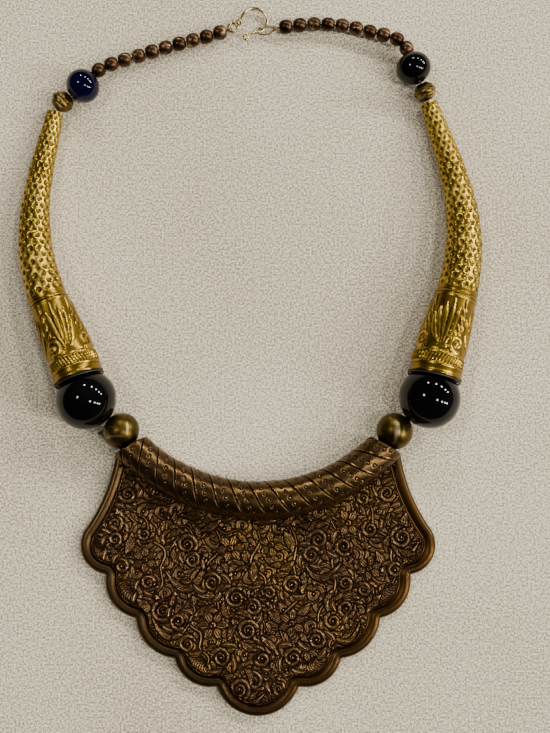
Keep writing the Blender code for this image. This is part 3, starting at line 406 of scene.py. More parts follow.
class Sheet:
    def __init__(self, low, high, step):
        self.low, self.step = low, step
        self.x = np.arange(low[0], high[0] + step, step)
        self.y = np.arange(low[1], high[1] + step, step)
        self.height = np.zeros((len(self.x), len(self.y)))
        self.lineRise = 0.20

    def window(self, line, reach):
        starts, stops = [], []
        for axis, grid in enumerate((self.x, self.y)):
            first = (line[:, axis].min() - reach - self.low[axis]) / self.step
            last = (line[:, axis].max() + reach - self.low[axis]) / self.step + 2
            starts.append(int(np.clip(first, 0, len(grid))))
            stops.append(int(np.clip(last, 0, len(grid))))
        return slice(starts[0], stops[0]), slice(starts[1], stops[1])

    def stroke(self, line, halfWidths, rise, lines=0, groove=0.20, sink=0.26, crown=0.5):
        # a raised form along a line, chased with finer lines along it, with its own dark groove round it
        line = np.asarray(line, float)
        spread = max(halfWidths)
        across, down = self.window(line, spread + groove)
        x, y = self.x[across][:, None], self.y[down][None, :]
        if x.size == 0 or y.size == 0:
            return
        starts, runs = line[:-1], np.diff(line, axis=0)
        lengths = np.maximum(np.hypot(runs[:, 0], runs[:, 1]), 1e-6)
        best = np.full((x.size, y.size), 1e9)
        along = np.zeros_like(best)
        travelled = 0.0
        for start, run, length in zip(starts, runs, lengths):
            share = np.clip(((x - start[0]) * run[0] + (y - start[1]) * run[1]) / length**2, 0, 1)
            away = np.hypot(x - start[0] - share * run[0], y - start[1] - share * run[1])
            closer = away < best
            best = np.where(closer, away, best)
            along = np.where(closer, travelled + share * length, along)
            travelled += length
        half = np.interp(along / travelled, np.linspace(0, 1, len(halfWidths)), halfWidths)
        half = np.maximum(half, 0.02)
        out = best / half
        body = rise * (1 - crown * out**2)
        if lines:
            fade = stepUp(0.15, 0.55, half / spread)
            body = body + self.lineRise * np.cos(2 * np.pi * lines * out) * fade
        body = body * np.sqrt(np.clip((half - best) / 0.12, 0, 1))
        ditch = -sink * np.sin(np.pi * np.clip((best - half) / groove, 0, 1)) ** 0.5
        old = self.height[across, down]
        around = np.where(best < half + groove, np.minimum(old * 0.5, ditch), old)
        self.height[across, down] = np.where(best < half, body, around)

    def dome(self, x, y, radius, rise, dimple=0.0):
        self.stroke([(x, y), (x + 0.01, y)], [radius, radius], rise)
        if dimple:
            hole = [radius * dimple, radius * dimple]
            self.stroke([(x, y), (x + 0.01, y)], hole, -0.1, groove=0.05, sink=0.1)

    def soften(self, turns):
        for _ in range(turns):
            around = np.pad(self.height, 1, mode="edge")
            self.height = (
                0.36 * self.height
                + 0.12 * (around[:-2, 1:-1] + around[2:, 1:-1] + around[1:-1, :-2] + around[1:-1, 2:])
                + 0.04 * (around[:-2, :-2] + around[2:, 2:] + around[:-2, 2:] + around[2:, :-2])
            )

    def worn(self, reach):
        # 1 on what stands above its surroundings and 0 in what lies below them
        cells = max(1, int(round(reach / self.step)))
        blurred = self.height.copy()
        for axis in (0, 1):
            for _ in range(2):
                width = 2 * cells + 1
                pad = [(0, 0), (0, 0)]
                pad[axis] = (cells + 1, cells)
                sums = np.cumsum(np.pad(blurred, pad, mode="edge"), axis=axis)
                size = blurred.shape[axis]
                ahead = np.take(sums, np.arange(width, width + size), axis=axis)
                behind = np.take(sums, np.arange(0, size), axis=axis)
                blurred = (ahead - behind) / width
        return np.clip(0.55 + (self.height - blurred) / 0.95, 0, 1)


def curl(x, y, radius, start, turns, closing=0.86, count=44):
    # a spiral's line from its outer end in to the bud
    shares = np.linspace(0, 1, count)
    angles = math.radians(start) + 2 * np.pi * turns * shares
    radii = radius * (1 - closing * shares)
    return np.column_stack([x + radii * np.cos(angles), y + radii * np.sin(angles)])


def bent(x, y, heading, length, bend, count=11):
    # a leaf's or stem's line from its root, turning by `bend` degrees on the way
    headings = np.radians(heading + bend * np.linspace(0, 1, count))
    steps = length / (count - 1) * np.column_stack([np.cos(headings), np.sin(headings)])
    return np.vstack([[x, y], [x, y] + np.cumsum(steps[:-1], axis=0)])


def flowing(places, count=48):
    # a smooth line through a few places
    line = np.asarray(places, float)
    keys = np.concatenate([[0], np.cumsum(np.hypot(*np.diff(line, axis=0).T))])
    at = np.linspace(0, keys[-1], count)
    return np.column_stack([smoothCurve(keys, line[:, axis], at) for axis in (0, 1)])


def onCircle(x, y, radius, degrees):
    angle = math.radians(degrees)
    return x + radius * math.cos(angle), y + radius * math.sin(angle)


# Forms of the ornament: lengths in millimetres, and each pair is a depth and a half width
chasing = {
    "leafWidths": [0.16, 0.55, 0.86, 1.0, 0.97, 0.80, 0.50, 0.08],
    "lineSpacing": 0.66,
    "leafGroove": (0.16, 0.18),
    "armPitch": 1.75,
    "armTop": 0.40,
    "armGroove": (0.50, 0.19),
    "armLine": (0.15, 0.13),
    "leafletsRound": 5,
    "leafletLean": 0.30,
    "notch": (0.32, 0.16),
    "seam": (0.35, 0.18),
    "waver": 0.35,
    "scrollWidths": [0.64, 0.60, 0.54, 0.46, 0.36],
    "tailWidths": [0.20, 0.36, 0.50, 0.62, 0.64],
    "scrollRise": 0.64,
    "bud": 0.45,
    "petalRise": 0.66,
    "stemWidths": [0.25, 0.40, 0.42, 0.36, 0.25],
    "stemSway": 1.1,
    "crescentWidths": (0.12, 0.6, 0.95, 1.0, 0.95, 0.6, 0.12),
}


def leaf(sheet, x, y, heading, length, width, bend=0.0, rise=0.6):
    halves = [width / 2 * share for share in chasing["leafWidths"]]
    lines = max(1, round(width / 2 / chasing["lineSpacing"]))
    sink, groove = chasing["leafGroove"]
    sheet.stroke(bent(x, y, heading, length, bend), halves, rise, lines=lines, groove=groove, sink=sink)


def cutAt(distance, size):
    depth, halfWidth = size
    return depth * ridge(distance, halfWidth)


def swirlGround(sheet, centres):
    # every part of the ground curls round its nearest centre, in arms chased with finer lines
    waver, armPitch, leaflets = chasing["waver"], chasing["armPitch"], chasing["leafletsRound"]
    x = sheet.x[:, None] + waver * np.sin(sheet.y[None, :] * 0.9)
    y = sheet.y[None, :] + waver * np.sin(sheet.x[:, None] * 0.8)
    nearest = np.full(sheet.height.shape, 1e9)
    second = nearest.copy()
    away, turn = np.zeros_like(nearest), np.zeros_like(nearest)
    for middleX, middleY, size, hand in centres:
        reach = np.hypot(x - middleX, y - middleY)
        closer = reach / size < nearest
        second = np.where(closer, nearest, np.minimum(second, reach / size))
        nearest = np.where(closer, reach / size, nearest)
        away = np.where(closer, reach, away)
        turn = np.where(closer, hand * np.arctan2(y - middleY, x - middleX), turn)
    arm = away / armPitch - turn / (2 * np.pi)
    between = np.abs(arm - np.rint(arm)) * armPitch
    height = chasing["armTop"] - cutAt(between, chasing["armGroove"])
    height = height - cutAt(between - armPitch / 2, chasing["armLine"])
    count = leaflets * turn / (2 * np.pi) + chasing["leafletLean"] * away
    notch = np.abs(count - np.rint(count)) * 2 * np.pi * np.maximum(away, 0.3) / leaflets
    height = height - cutAt(notch, chasing["notch"]) * stepUp(2.0, 2.6, away)
    sheet.height = height - cutAt((second - nearest) / 2, chasing["seam"])


def scroll(sheet, x, y, radius, start, turns, tail=0.0):
    # broad leaves sweep round the outside of a thick spiral
    hand, rise = 1 if turns > 0 else -1, chasing["scrollRise"]
    for step in range(3):
        angle = start + hand * (50 + 85 * step)
        root = onCircle(x, y, radius * 1.30, angle)
        leaf(sheet, *root, angle + hand * 58, radius * 2.1, radius * 0.74, hand * 78, rise * 0.85)
    line = curl(x, y, radius * 1.12, start, turns)
    if tail:
        root = bent(line[0, 0], line[0, 1], start - hand * 90, tail, -hand * 46)
        sheet.stroke(root[::-1], chasing["tailWidths"], rise * 0.9, lines=1)
    sheet.stroke(line, chasing["scrollWidths"], rise, lines=1, groove=0.22, sink=0.26, crown=0.4)
    sheet.dome(x, y, chasing["bud"], rise)


def flower(sheet, x, y, radius, petals, turn=0.0):
    for step in range(petals):
        heading = turn + 360 * step / petals
        root = onCircle(x, y, 0.20 * radius, heading)
        leaf(sheet, *root, heading, radius * 0.95, radius * 0.74, 0.0, chasing["petalRise"])
    sheet.dome(x, y, radius * 0.25, 0.85, dimple=0.45)


# The bib: its outline is the scalloped one that the solid has

bib = {
    "halfWidth": 58.5,
    "drop": 69.2,
    # corners of the right edge from the tip up: shares of the half width and the drop, bulge of the lobe
    "corners": [
        (0.227, 0.864, 0.35),
        (0.462, 0.735, 0.20),
        (0.680, 0.550, 0.18),
        (0.850, 0.348, 0.20),
        (0.974, 0.141, 0.26),
        (0.804, -0.215, -0.060),
    ],
    "tubeArc": 57.8,
    "tubeHalfAngle": 46.3,
    "underTube": 0.93,
    "edgeSpacing": 0.28,
    "notchSoftness": 1,
    # section of the rim: distance in from the edge, height, how worn it is
    "rim": [
        (0.55, 0.00, 0.1),
        (0.12, 0.25, 0.2),
        (0.00, 0.80, 0.5),
        (0.00, 1.50, 0.6),
        (0.10, 2.15, 0.7),
        (0.32, 2.70, 0.8),
        (0.66, 3.12, 0.85),
        (1.08, 3.38, 0.8),
        (1.55, 3.48, 0.7),
        (2.05, 3.46, 0.6),
        (2.50, 3.36, 0.5),
        (2.85, 3.24, 0.42),
        (3.08, 3.08, 0.28),
        (3.30, 3.02, 0.22),
        (3.48, 3.16, 0.32),
        (3.62, 3.45, 0.50),
        (3.80, 3.76, 0.72),
        (4.02, 3.86, 0.78),
        (4.22, 3.76, 0.66),
        (4.38, 3.50, 0.40),
        (4.60, 3.20, 0.15),
    ],
    "fieldInset": 4.30,
    "fieldBase": 3.85,
    "fieldFloor": 3.00,
    "fieldStep": 0.175,
    "middlePart": 16.0,
    "tubeCover": 4.9,
}

# Ornament charted in squares of a third of a millimetre, across and down from the tube's middle
chart = {
    "square": 0.331,
    # across, down, radius, where the spiral opens, turns, tail
    "scrolls": [
        (-129, -6, 7, 200, 1.6, 6), (-141, 23, 7, 60, -1.6, 5), (-141, 38, 6, 290, 1.6, 4),
        (-88, 36, 6, 230, -1.5, 5), (-70, 43, 9, 330, 1.8, 9), (-65, 58, 6.5, 60, -1.5, 5),
        (-112, 33, 5, 150, 1.5, 4), (-45, 80, 8, 100, -1.7, 8), (-22, 95, 9, 60, 1.8, 10),
        (-5, 104, 7, 110, -1.7, 7), (8, 89, 6.5, 240, 1.6, 8), (-134, 64, 6, 100, -1.5, 5),
        (-108, 80, 6, 20, 1.6, 6), (59, 38, 8, 160, -1.7, 8), (52, 53, 7, 40, 1.6, 6),
        (84, 45, 7.5, 300, -1.6, 7), (110, 28, 6.5, 130, 1.6, 6), (127, -7, 7, 340, -1.6, 6),
        (141, 36, 9, 120, 1.8, 9), (33, 82, 7.5, 50, 1.7, 8), (11, 90, 5, 120, -1.5, 4),
        (85, 81, 6.5, 250, 1.6, 6), (103, 87, 6, 110, -1.6, 6), (86, 105, 7.5, 330, -1.7, 9),
        (73, 117, 7, 120, 1.6, 7), (134, 68, 6, 60, 1.5, 5), (-93, 108, 9, 130, 1.8, 12),
        (-78, 117, 7, 300, -1.6, 6), (-69, 139, 7, 60, 1.6, 8), (-36, 152, 8, 140, -1.7, 8),
        (34, 152, 8, 40, 1.7, 8), (57, 135, 8, 100, -1.7, 8), (-10, 126, 9, 20, 1.8, 10),
        (-4, 174, 8, 150, -1.7, 8), (-18, 182, 9, 330, 1.8, 9), (4, 153, 6, 210, 1.5, 5),
        (104, -2, 5, 140, 1.5, 4), (-100, -8, 5, 60, -1.5, 4), (20, 182, 6, 60, -1.5, 6),
    ],
    # across, down, radius, petals, turn
    "flowers": [
        (-27, 47, 12, 6, 10), (13, 43, 11, 6, 40), (89, 22, 12, 6, 0), (-111, 58, 11, 6, 30),
        (109, 66, 11, 6, 20), (-44, 121, 13, 6, 0), (33, 119, 12, 6, 25),
    ],
    # across, down, heading, length, width, bend
    "leaves": [
        (-86, 58, 60, 24, 11, 25), (-26, 70, 250, 22, 10, -20), (-84, 112, 70, 24, 12, 30),
        (-62, 112, 30, 24, 11, -40), (34, 50, 100, 22, 10, 30), (22, 74, 60, 20, 10, -30),
        (70, 110, 95, 24, 12, -25), (-24, 168, 110, 24, 12, -30), (4, 132, 300, 24, 11, 30),
        (-130, 52, 60, 22, 10, 30), (-118, 42, 40, 20, 9, -20), (-4, 60, 265, 22, 9, 15),
        (46, 70, 250, 22, 10, 30), (-56, 30, 20, 22, 8, 20), (40, 24, 350, 24, 8, -15),
        (116, 50, 300, 22, 9, -30), (66, 20, 200, 20, 8, 20), (-100, 92, 300, 24, 11, -30),
        (98, 128, 250, 24, 10, 30), (10, 108, 320, 22, 10, 30), (-60, 90, 340, 20, 9, 30),
        (50, 100, 240, 20, 9, -30), (-76, 14, 350, 24, 8, 25), (18, 20, 180, 24, 7, 10),
        (-140, 8, 300, 20, 9, -25), (146, 12, 250, 20, 9, 25), (-20, 140, 200, 22, 10, 30),
        (22, 138, 340, 22, 10, -30), (120, 92, 220, 22, 10, 25), (-118, 96, 320, 22, 10, -25),
    ],
    # broad smooth crescents: three places, and the width in the middle
    "crescents": [
        ((-91, 68), (-68, 86), (-50, 56), 7.5), ((46, 62), (62, 76), (82, 60), 6.5),
        ((-104, 112), (-86, 133), (-66, 118), 5.5), ((-12, 122), (4, 140), (16, 150), 5.0),
        ((-30, 178), (-12, 196), (8, 184), 5.5), ((70, 128), (88, 136), (100, 116), 5.0),
        ((128, 30), (142, 54), (158, 40), 6.0),
    ],
    # stems: places along each
    "stems": [
        ((-42, 28), (-40, 48), (-50, 74), (-40, 100), (-28, 120), (-22, 150)),
        ((32, 26), (36, 52), (40, 86), (28, 108), (24, 130), (30, 160)),
        ((104, 0), (116, 22), (134, 58), (128, 84)),
        ((-118, 14), (-106, 32), (-92, 60), (-100, 90)),
        ((0, 30), (-4, 60), (4, 78), (-2, 100), (6, 130)),
        ((72, 20), (76, 56), (70, 92), (60, 120), (66, 146)),
        ((-78, 26), (-58, 34), (-40, 28), (-12, 34)),
        ((-66, 100), (-62, 124), (-54, 140), (-50, 160)),
    ],
    "fillerPitch": 18.0,
    "toothPitch": 5.6,
    "toothLength": 12.0,
}


def lobeArc(start, end, bulge, count):
    start, end = np.array(start), np.array(end)
    chord = end - start
    length = np.hypot(*chord)
    along = chord / length
    out = np.array([along[1], -along[0]]) * math.copysign(1.0, bulge)
    sagitta = abs(bulge) * length
    radius = (length**2 / 4 + sagitta**2) / (2 * sagitta)
    half = math.asin(min(1.0, length / 2 / radius))
    middle = start + chord / 2 + out * (sagitta - radius)
    turns = -half + 2 * half * np.arange(count) / count
    return middle + radius * (np.outer(np.sin(turns), along) + np.outer(np.cos(turns), out))


def tubeMiddle(angle):
    # plan place of the tube's centreline
    return np.column_stack([bib["tubeArc"] * np.sin(angle), bib["tubeArc"] * (1 - np.cos(angle))])


def bibOutline():
    corners = [(a * bib["halfWidth"], -d * bib["drop"]) for a, d, bulge in bib["corners"]]
    bulges = [bulge for a, d, bulge in bib["corners"]]
    lobes = [lobeArc(s, e, b, 40) for s, e, b in zip(corners, corners[1:], bulges[1:])]
    half = np.vstack([*lobes, corners[-1]])
    tip = lobeArc((-corners[0][0], corners[0][1]), corners[0], bulges[0], 60)
    reach = math.radians(bib["tubeHalfAngle"]) * bib["underTube"]
    under = tubeMiddle(np.linspace(reach, -reach, 60))
    left = (half * (-1, 1))[::-1]
    loop = np.vstack([left[:-1], tip, half, under])
    closed = np.vstack([loop, loop[:1]])
    run = np.concatenate([[0], np.cumsum(np.hypot(*np.diff(closed, axis=0).T))])
    count = int(run[-1] / bib["edgeSpacing"])
    at = run[-1] * np.arange(count) / count
    even = np.column_stack([np.interp(at, run, closed[:, axis]) for axis in (0, 1)])
    return softened(even, bib["notchSoftness"])


def softened(loop, reach):
    kernel = np.exp(-0.5 * (np.arange(-3 * reach, 3 * reach + 1) / reach) ** 2)
    kernel = kernel / kernel.sum()
    padded = np.vstack([loop[-3 * reach:], loop, loop[:3 * reach]])
    return np.column_stack([np.convolve(padded[:, axis], kernel, "valid") for axis in (0, 1)])


def inwardFrom(outline):
    ahead = np.roll(outline, -1, axis=0) - np.roll(outline, 1, axis=0)
    inward = softened(np.column_stack([-ahead[:, 1], ahead[:, 0]]), 2)
    return inward / np.hypot(inward[:, 0], inward[:, 1])[:, None]


outline = bibOutline()
pastTube = np.hypot(outline[:, 0], outline[:, 1] - bib["tubeArc"]) - bib["tubeArc"]
inward = inwardFrom(outline) * stepUp(0.4, 5.2, pastTube)[:, None]
bibLow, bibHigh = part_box("bib_pendant")
bibX = (bibLow.x + bibHigh.x) / 2 / mm
bibY = bibLow.y / mm - outline[:, 1].min()


def inFrame(x, y, z):
    # from the bib's own millimetres to the frame's metres
    return np.column_stack([np.ravel(x) + bibX, np.ravel(y) + bibY, np.ravel(z)]) * mm


def makeRim():
    # a flat disc on the outline, raised ring by ring through the rim's section
    letGo()
    bpy.ops.mesh.primitive_circle_add(vertices=len(outline), radius=0.05, fill_type="NGON")
    piece = bpy.context.object
    turn = np.arctan2(points(piece)[:, 1], points(piece)[:, 0])
    order = np.argsort(np.argsort(turn))
    note(piece, "station", order)
    note(piece, "ring", np.zeros(len(outline)))
    for number in range(1, len(bib["rim"])):
        workOn(piece, "VERT" if number == 1 else "FACE")
        if number == 1:
            bpy.ops.mesh.select_all(action="SELECT")
        bpy.ops.mesh.extrude_region_move(TRANSFORM_OT_translate={"value": (0, 0, 0.001)})
        stopWork()
        chosen = np.zeros(len(piece.data.vertices), bool)
        piece.data.vertices.foreach_get("select", chosen)
        rings = readNote(piece, "ring")
        rings[chosen] = number
        note(piece, "ring", rings)
    station = np.rint(readNote(piece, "station")).astype(int)
    ring = np.rint(readNote(piece, "ring")).astype(int)
    rows = np.array(bib["rim"])
    flat = outline[station] + inward[station] * rows[ring, 0][:, None]
    movePoints(piece, inFrame(flat[:, 0], flat[:, 1], rows[ring, 1]))
    note(piece, "worn", rows[ring, 2])
    faceOutwards(piece)
    smoothUpTo(piece, 50)
    return handOver(piece, "bibRim", finishes["rim"], "copper", "bib_pendant")


def chartedSheet():
    unit = chart["square"]
    low = outline.min(0) - 1.0
    high = outline.max(0) + 1.0
    sheet = Sheet(low, high, bib["fieldStep"])
    dice = random.Random(11)
    pitch = chart["fillerPitch"] * unit
    centres = [
        (a * unit, -d * unit, 0.75 + radius / 28, math.copysign(1, turns))
        for a, d, radius, start, turns, tail in chart["scrolls"]
    ]
    taken = [row[:2] for row in centres] + [(a * unit, -d * unit) for a, d, *form in chart["flowers"]]
    rows = int((high[1] - low[1]) / (pitch * 0.86)) + 1
    for row in range(rows):
        for column in range(int((high[0] - low[0]) / pitch) + 1):
            x = low[0] + pitch * (column + 0.5 * (row % 2)) + dice.uniform(-0.2, 0.2) * pitch
            y = low[1] + pitch * 0.86 * row + dice.uniform(-0.2, 0.2) * pitch
            if min(math.hypot(x - a, y - b) for a, b in taken) > 0.62 * pitch:
                centres.append((x, y, dice.uniform(0.8, 1.05), dice.choice((-1, 1))))
    swirlGround(sheet, centres)
    for x, y, size, hand in centres:
        start = dice.uniform(0, 360)
        for step in range(2):
            angle = start + hand * step * dice.uniform(70, 150)
            root = onCircle(x, y, 2.5 * size, angle)
            leaf(sheet, *root, angle + hand * 34, 4.3 * size, 2.1, hand * 62, 0.62)
        sheet.dome(x, y, 0.42, 0.7)
    rimLine = outline + inward * (bib["fieldInset"] + 0.2)
    steps = max(1, int(chart["toothPitch"] * unit / bib["edgeSpacing"]))
    for number in range(0, len(rimLine), steps):
        nx, ny = inward[number]
        heading = math.degrees(math.atan2(ny, nx)) + 26
        x, y = rimLine[number]
        leaf(sheet, x, y, heading, chart["toothLength"] * unit, 5.4 * unit, -44, 0.6)
    for places in chart["stems"]:
        # each stem sways across its charted line
        curve = flowing([(a * unit, -d * unit) for a, d in places])
        ahead = np.gradient(curve, axis=0)
        ahead /= np.hypot(ahead[:, 0], ahead[:, 1])[:, None]
        sway = chasing["stemSway"] * np.sin(np.linspace(0, 5 * np.pi, len(curve)))
        curve = curve + np.column_stack([-ahead[:, 1] * sway, ahead[:, 0] * sway])
        sheet.stroke(curve, chasing["stemWidths"], 0.50)
    for across, down, heading, length, width, bend in chart["leaves"]:
        leaf(sheet, across * unit, -down * unit, heading, length * unit, width * unit, bend, 0.9)
    for first, middle, last, width in chart["crescents"]:
        a, b, c = (np.array([p[0] * unit, -p[1] * unit]) for p in (first, middle, last))
        shares = np.linspace(0, 1, 16)[:, None]
        bow = 2 * b - (a + c) / 2
        curve = (1 - shares) ** 2 * a + 2 * shares * (1 - shares) * bow + shares**2 * c
        halves = [width * unit / 2 * share for share in chasing["crescentWidths"]]
        sheet.stroke(curve, halves, 0.66, lines=2)
    for across, down, radius, start, turns, tail in chart["scrolls"]:
        scroll(sheet, across * unit, -down * unit, radius * unit, start, turns, tail * unit)
    for across, down, radius, petals, turn in chart["flowers"]:
        flower(sheet, across * unit, -down * unit, radius * unit, petals, turn)
    return sheet


def insideLoop(loop, x, y):
    # true for the points within a loop, row by row
    inside = np.zeros(len(x), bool)
    after = np.roll(loop, -1, axis=0)
    for level in np.unique(y):
        crossing = (loop[:, 1] <= level) != (after[:, 1] <= level)
        one, two = loop[crossing], after[crossing]
        cuts = np.sort(one[:, 0] + (level - one[:, 1]) / (two[:, 1] - one[:, 1]) * (two[:, 0] - one[:, 0]))
        here = y == level
        inside[here] = np.searchsorted(cuts, x[here]) % 2 == 1
    return inside


def makeField(name, low, high, sheet, worn):
    # a part of the chased field: a fine grid cut to the rim's inner edge, raised, with a wall and a floor
    step = bib["fieldStep"]
    columns, rows = sheet.height.shape
    first = int(np.clip(round((low - sheet.low[0]) / step), 0, columns - 1))
    stop = int(np.clip(round((high - sheet.low[0]) / step), 0, columns - 1))
    letGo()
    bpy.ops.mesh.primitive_grid_add(x_subdivisions=stop - first, y_subdivisions=rows - 1, size=1)
    piece = bpy.context.object
    flat = points(piece)
    column = np.rint((flat[:, 0] + 0.5) * (stop - first)).astype(int) + first
    row = np.rint((flat[:, 1] + 0.5) * (rows - 1)).astype(int)
    x, y = sheet.x[column], sheet.y[row]
    rise = bib["fieldBase"] + sheet.height[column, row] * 0.95
    corners = np.zeros(len(piece.data.polygons) * 4, np.int32)
    piece.data.polygons.foreach_get("vertices", corners)
    corners = corners.reshape(-1, 4)
    faceX, faceY = x[corners].mean(1), np.round(y[corners].mean(1), 5)
    inner = outline + inward * bib["fieldInset"]
    keep = insideLoop(inner, faceX, faceY)
    keep &= np.hypot(faceX, faceY - bib["tubeArc"]) > bib["tubeArc"] + bib["tubeCover"]
    note(piece, "worn", worn[column, row])
    movePoints(piece, np.column_stack([x, y, rise]))
    workOnly(piece, "FACE", ~keep)
    bpy.ops.mesh.delete(type="FACE")
    stopWork()
    tuckEdge(piece, inner, step)
    workOn(piece, "EDGE")
    bpy.ops.mesh.select_all(action="SELECT")
    bpy.ops.mesh.region_to_loop()
    bpy.ops.mesh.extrude_edges_move(TRANSFORM_OT_translate={"value": (0, 0, -1)})
    bpy.ops.transform.resize(value=(1, 1, 0), center_override=(0, 0, bib["fieldFloor"]))
    bpy.ops.mesh.edge_face_add()
    stopWork()
    low = points(piece)
    movePoints(piece, inFrame(low[:, 0], low[:, 1], low[:, 2]))
    faceOutwards(piece)
    smoothUpTo(piece, 62)
    return handOver(piece, name, finishes["field"], "copper", "bib_pendant")


def tuckEdge(piece, inner, step):
    # draws the stepped edge onto the rim's inner line and lowers it there
    flat = points(piece)
    loops = np.zeros(len(piece.data.loops), np.int32)
    piece.data.loops.foreach_get("edge_index", loops)
    single = np.bincount(loops, minlength=len(piece.data.edges)) == 1
    onEdge = np.unique(edgeEnds(piece)[single])
    place = flat[onEdge, None, :2]
    run = (np.roll(inner, -1, axis=0) - inner)[None]
    share = np.clip(((place - inner[None]) * run).sum(2) / np.maximum((run**2).sum(2), 1e-12), 0, 1)
    nearest = inner[None] + share[:, :, None] * run
    away = np.hypot(*np.moveaxis(place - nearest, 2, 0))
    best = away.argmin(1)
    close = away.min(1) < 1.2 * step
    flat[onEdge[close], :2] = nearest[np.arange(len(onEdge)), best][close]
    flat[onEdge[close], 2] = np.minimum(flat[onEdge[close], 2], bib["fieldBase"] - 0.2)
    movePoints(piece, flat)


# The tube: chased with slanting lines and rows of ring punches

tube = {
    "middleDiameter": 12.7,
    "endDiameter": 11.9,
    "bore": 7.0,
    "endTilt": 12.0,
    "around": 116,
    "along": 780,
    "lineStarts": 3,
    "linePitch": 6.9,
    "lineDepth": 0.34,
    "lineHalfWidth": 0.18,
    "bulge": 0.12,
    "punchesRound": 18,
    "punchRadius": 0.50,
    "punchDepth": 0.26,
    "punchBump": 0.12,
    "edgeRise": 0.10,
    "dents": 0.09,
    "sunk": 0.22,
    "lip": 0.7,
}


def ringedTube(around, along):
    # an open cylinder cut into rings
    letGo()
    bpy.ops.mesh.primitive_cylinder_add(vertices=around, radius=1, depth=1, end_fill_type="NOTHING")
    piece = bpy.context.object
    # a long tube is cut in two stages, because one cut makes too few rings
    for parts in ((along,) if along <= 100 else (along // 10, 10)):
        level = points(piece)[edgeEnds(piece), 2]
        workOnly(piece, "EDGE", np.abs(level[:, 0] - level[:, 1]) > 1e-5)
        bpy.ops.mesh.subdivide(number_cuts=parts - 1)
        stopWork()
    flat = points(piece)
    note(piece, "along", flat[:, 2] + 0.5)
    return piece, flat[:, 2] + 0.5, np.arctan2(flat[:, 1], flat[:, 0])


def closeWall(outer, inner):
    # joins an outer and an inner skin at both ends
    letGo()
    inner.select_set(True)
    outer.select_set(True)
    bpy.context.view_layer.objects.active = outer
    bpy.ops.object.join()
    for low in (True, False):
        along = readNote(outer, "along")
        atEnd = along < 0.0005 if low else along > 0.9995
        workOnly(outer, "EDGE", atEnd[edgeEnds(outer)].all(axis=1))
        bpy.ops.mesh.bridge_edge_loops()
        stopWork()
    faceOutwards(outer)
    return outer


def tubeSkin(angle, turn, radius):
    # places on the tube: turn 0 is the top, positive towards the bib
    centreX = bib["tubeArc"] * np.sin(angle)
    centreY = bib["tubeArc"] * (1 - np.cos(angle))
    share = np.minimum(np.abs(angle) / math.radians(bib["tubeHalfAngle"]), 1.0)
    width = tube["middleDiameter"] + (tube["endDiameter"] - tube["middleDiameter"]) * share**2
    outX, outY = np.sin(angle), -np.cos(angle)
    reach = radius * np.sin(turn)
    return centreX + outX * reach, centreY + outY * reach, width / 2 + radius * np.cos(turn)


def tubeRadius(angle):
    share = np.minimum(np.abs(angle) / math.radians(bib["tubeHalfAngle"]), 1.0)
    return (tube["middleDiameter"] + (tube["endDiameter"] - tube["middleDiameter"]) * share**2) / 2


def tubeEnds(turn, radius):
    # where each line along the tube meets the slanting cut, by halving
    half = math.radians(bib["tubeHalfAngle"])
    tilt = half + math.radians(tube["endTilt"])
    centre = tubeMiddle(np.array([half]))[0]
    near, far = np.full_like(turn, half * 0.7), np.full_like(turn, half * 1.3)
    for _ in range(30):
        middle = (near + far) / 2
        x, y, z = tubeSkin(middle, turn, radius)
        past = (x - centre[0]) * math.cos(tilt) + (y - centre[1]) * math.sin(tilt) > 0
        near, far = np.where(past, near, middle), np.where(past, middle, far)
    return near


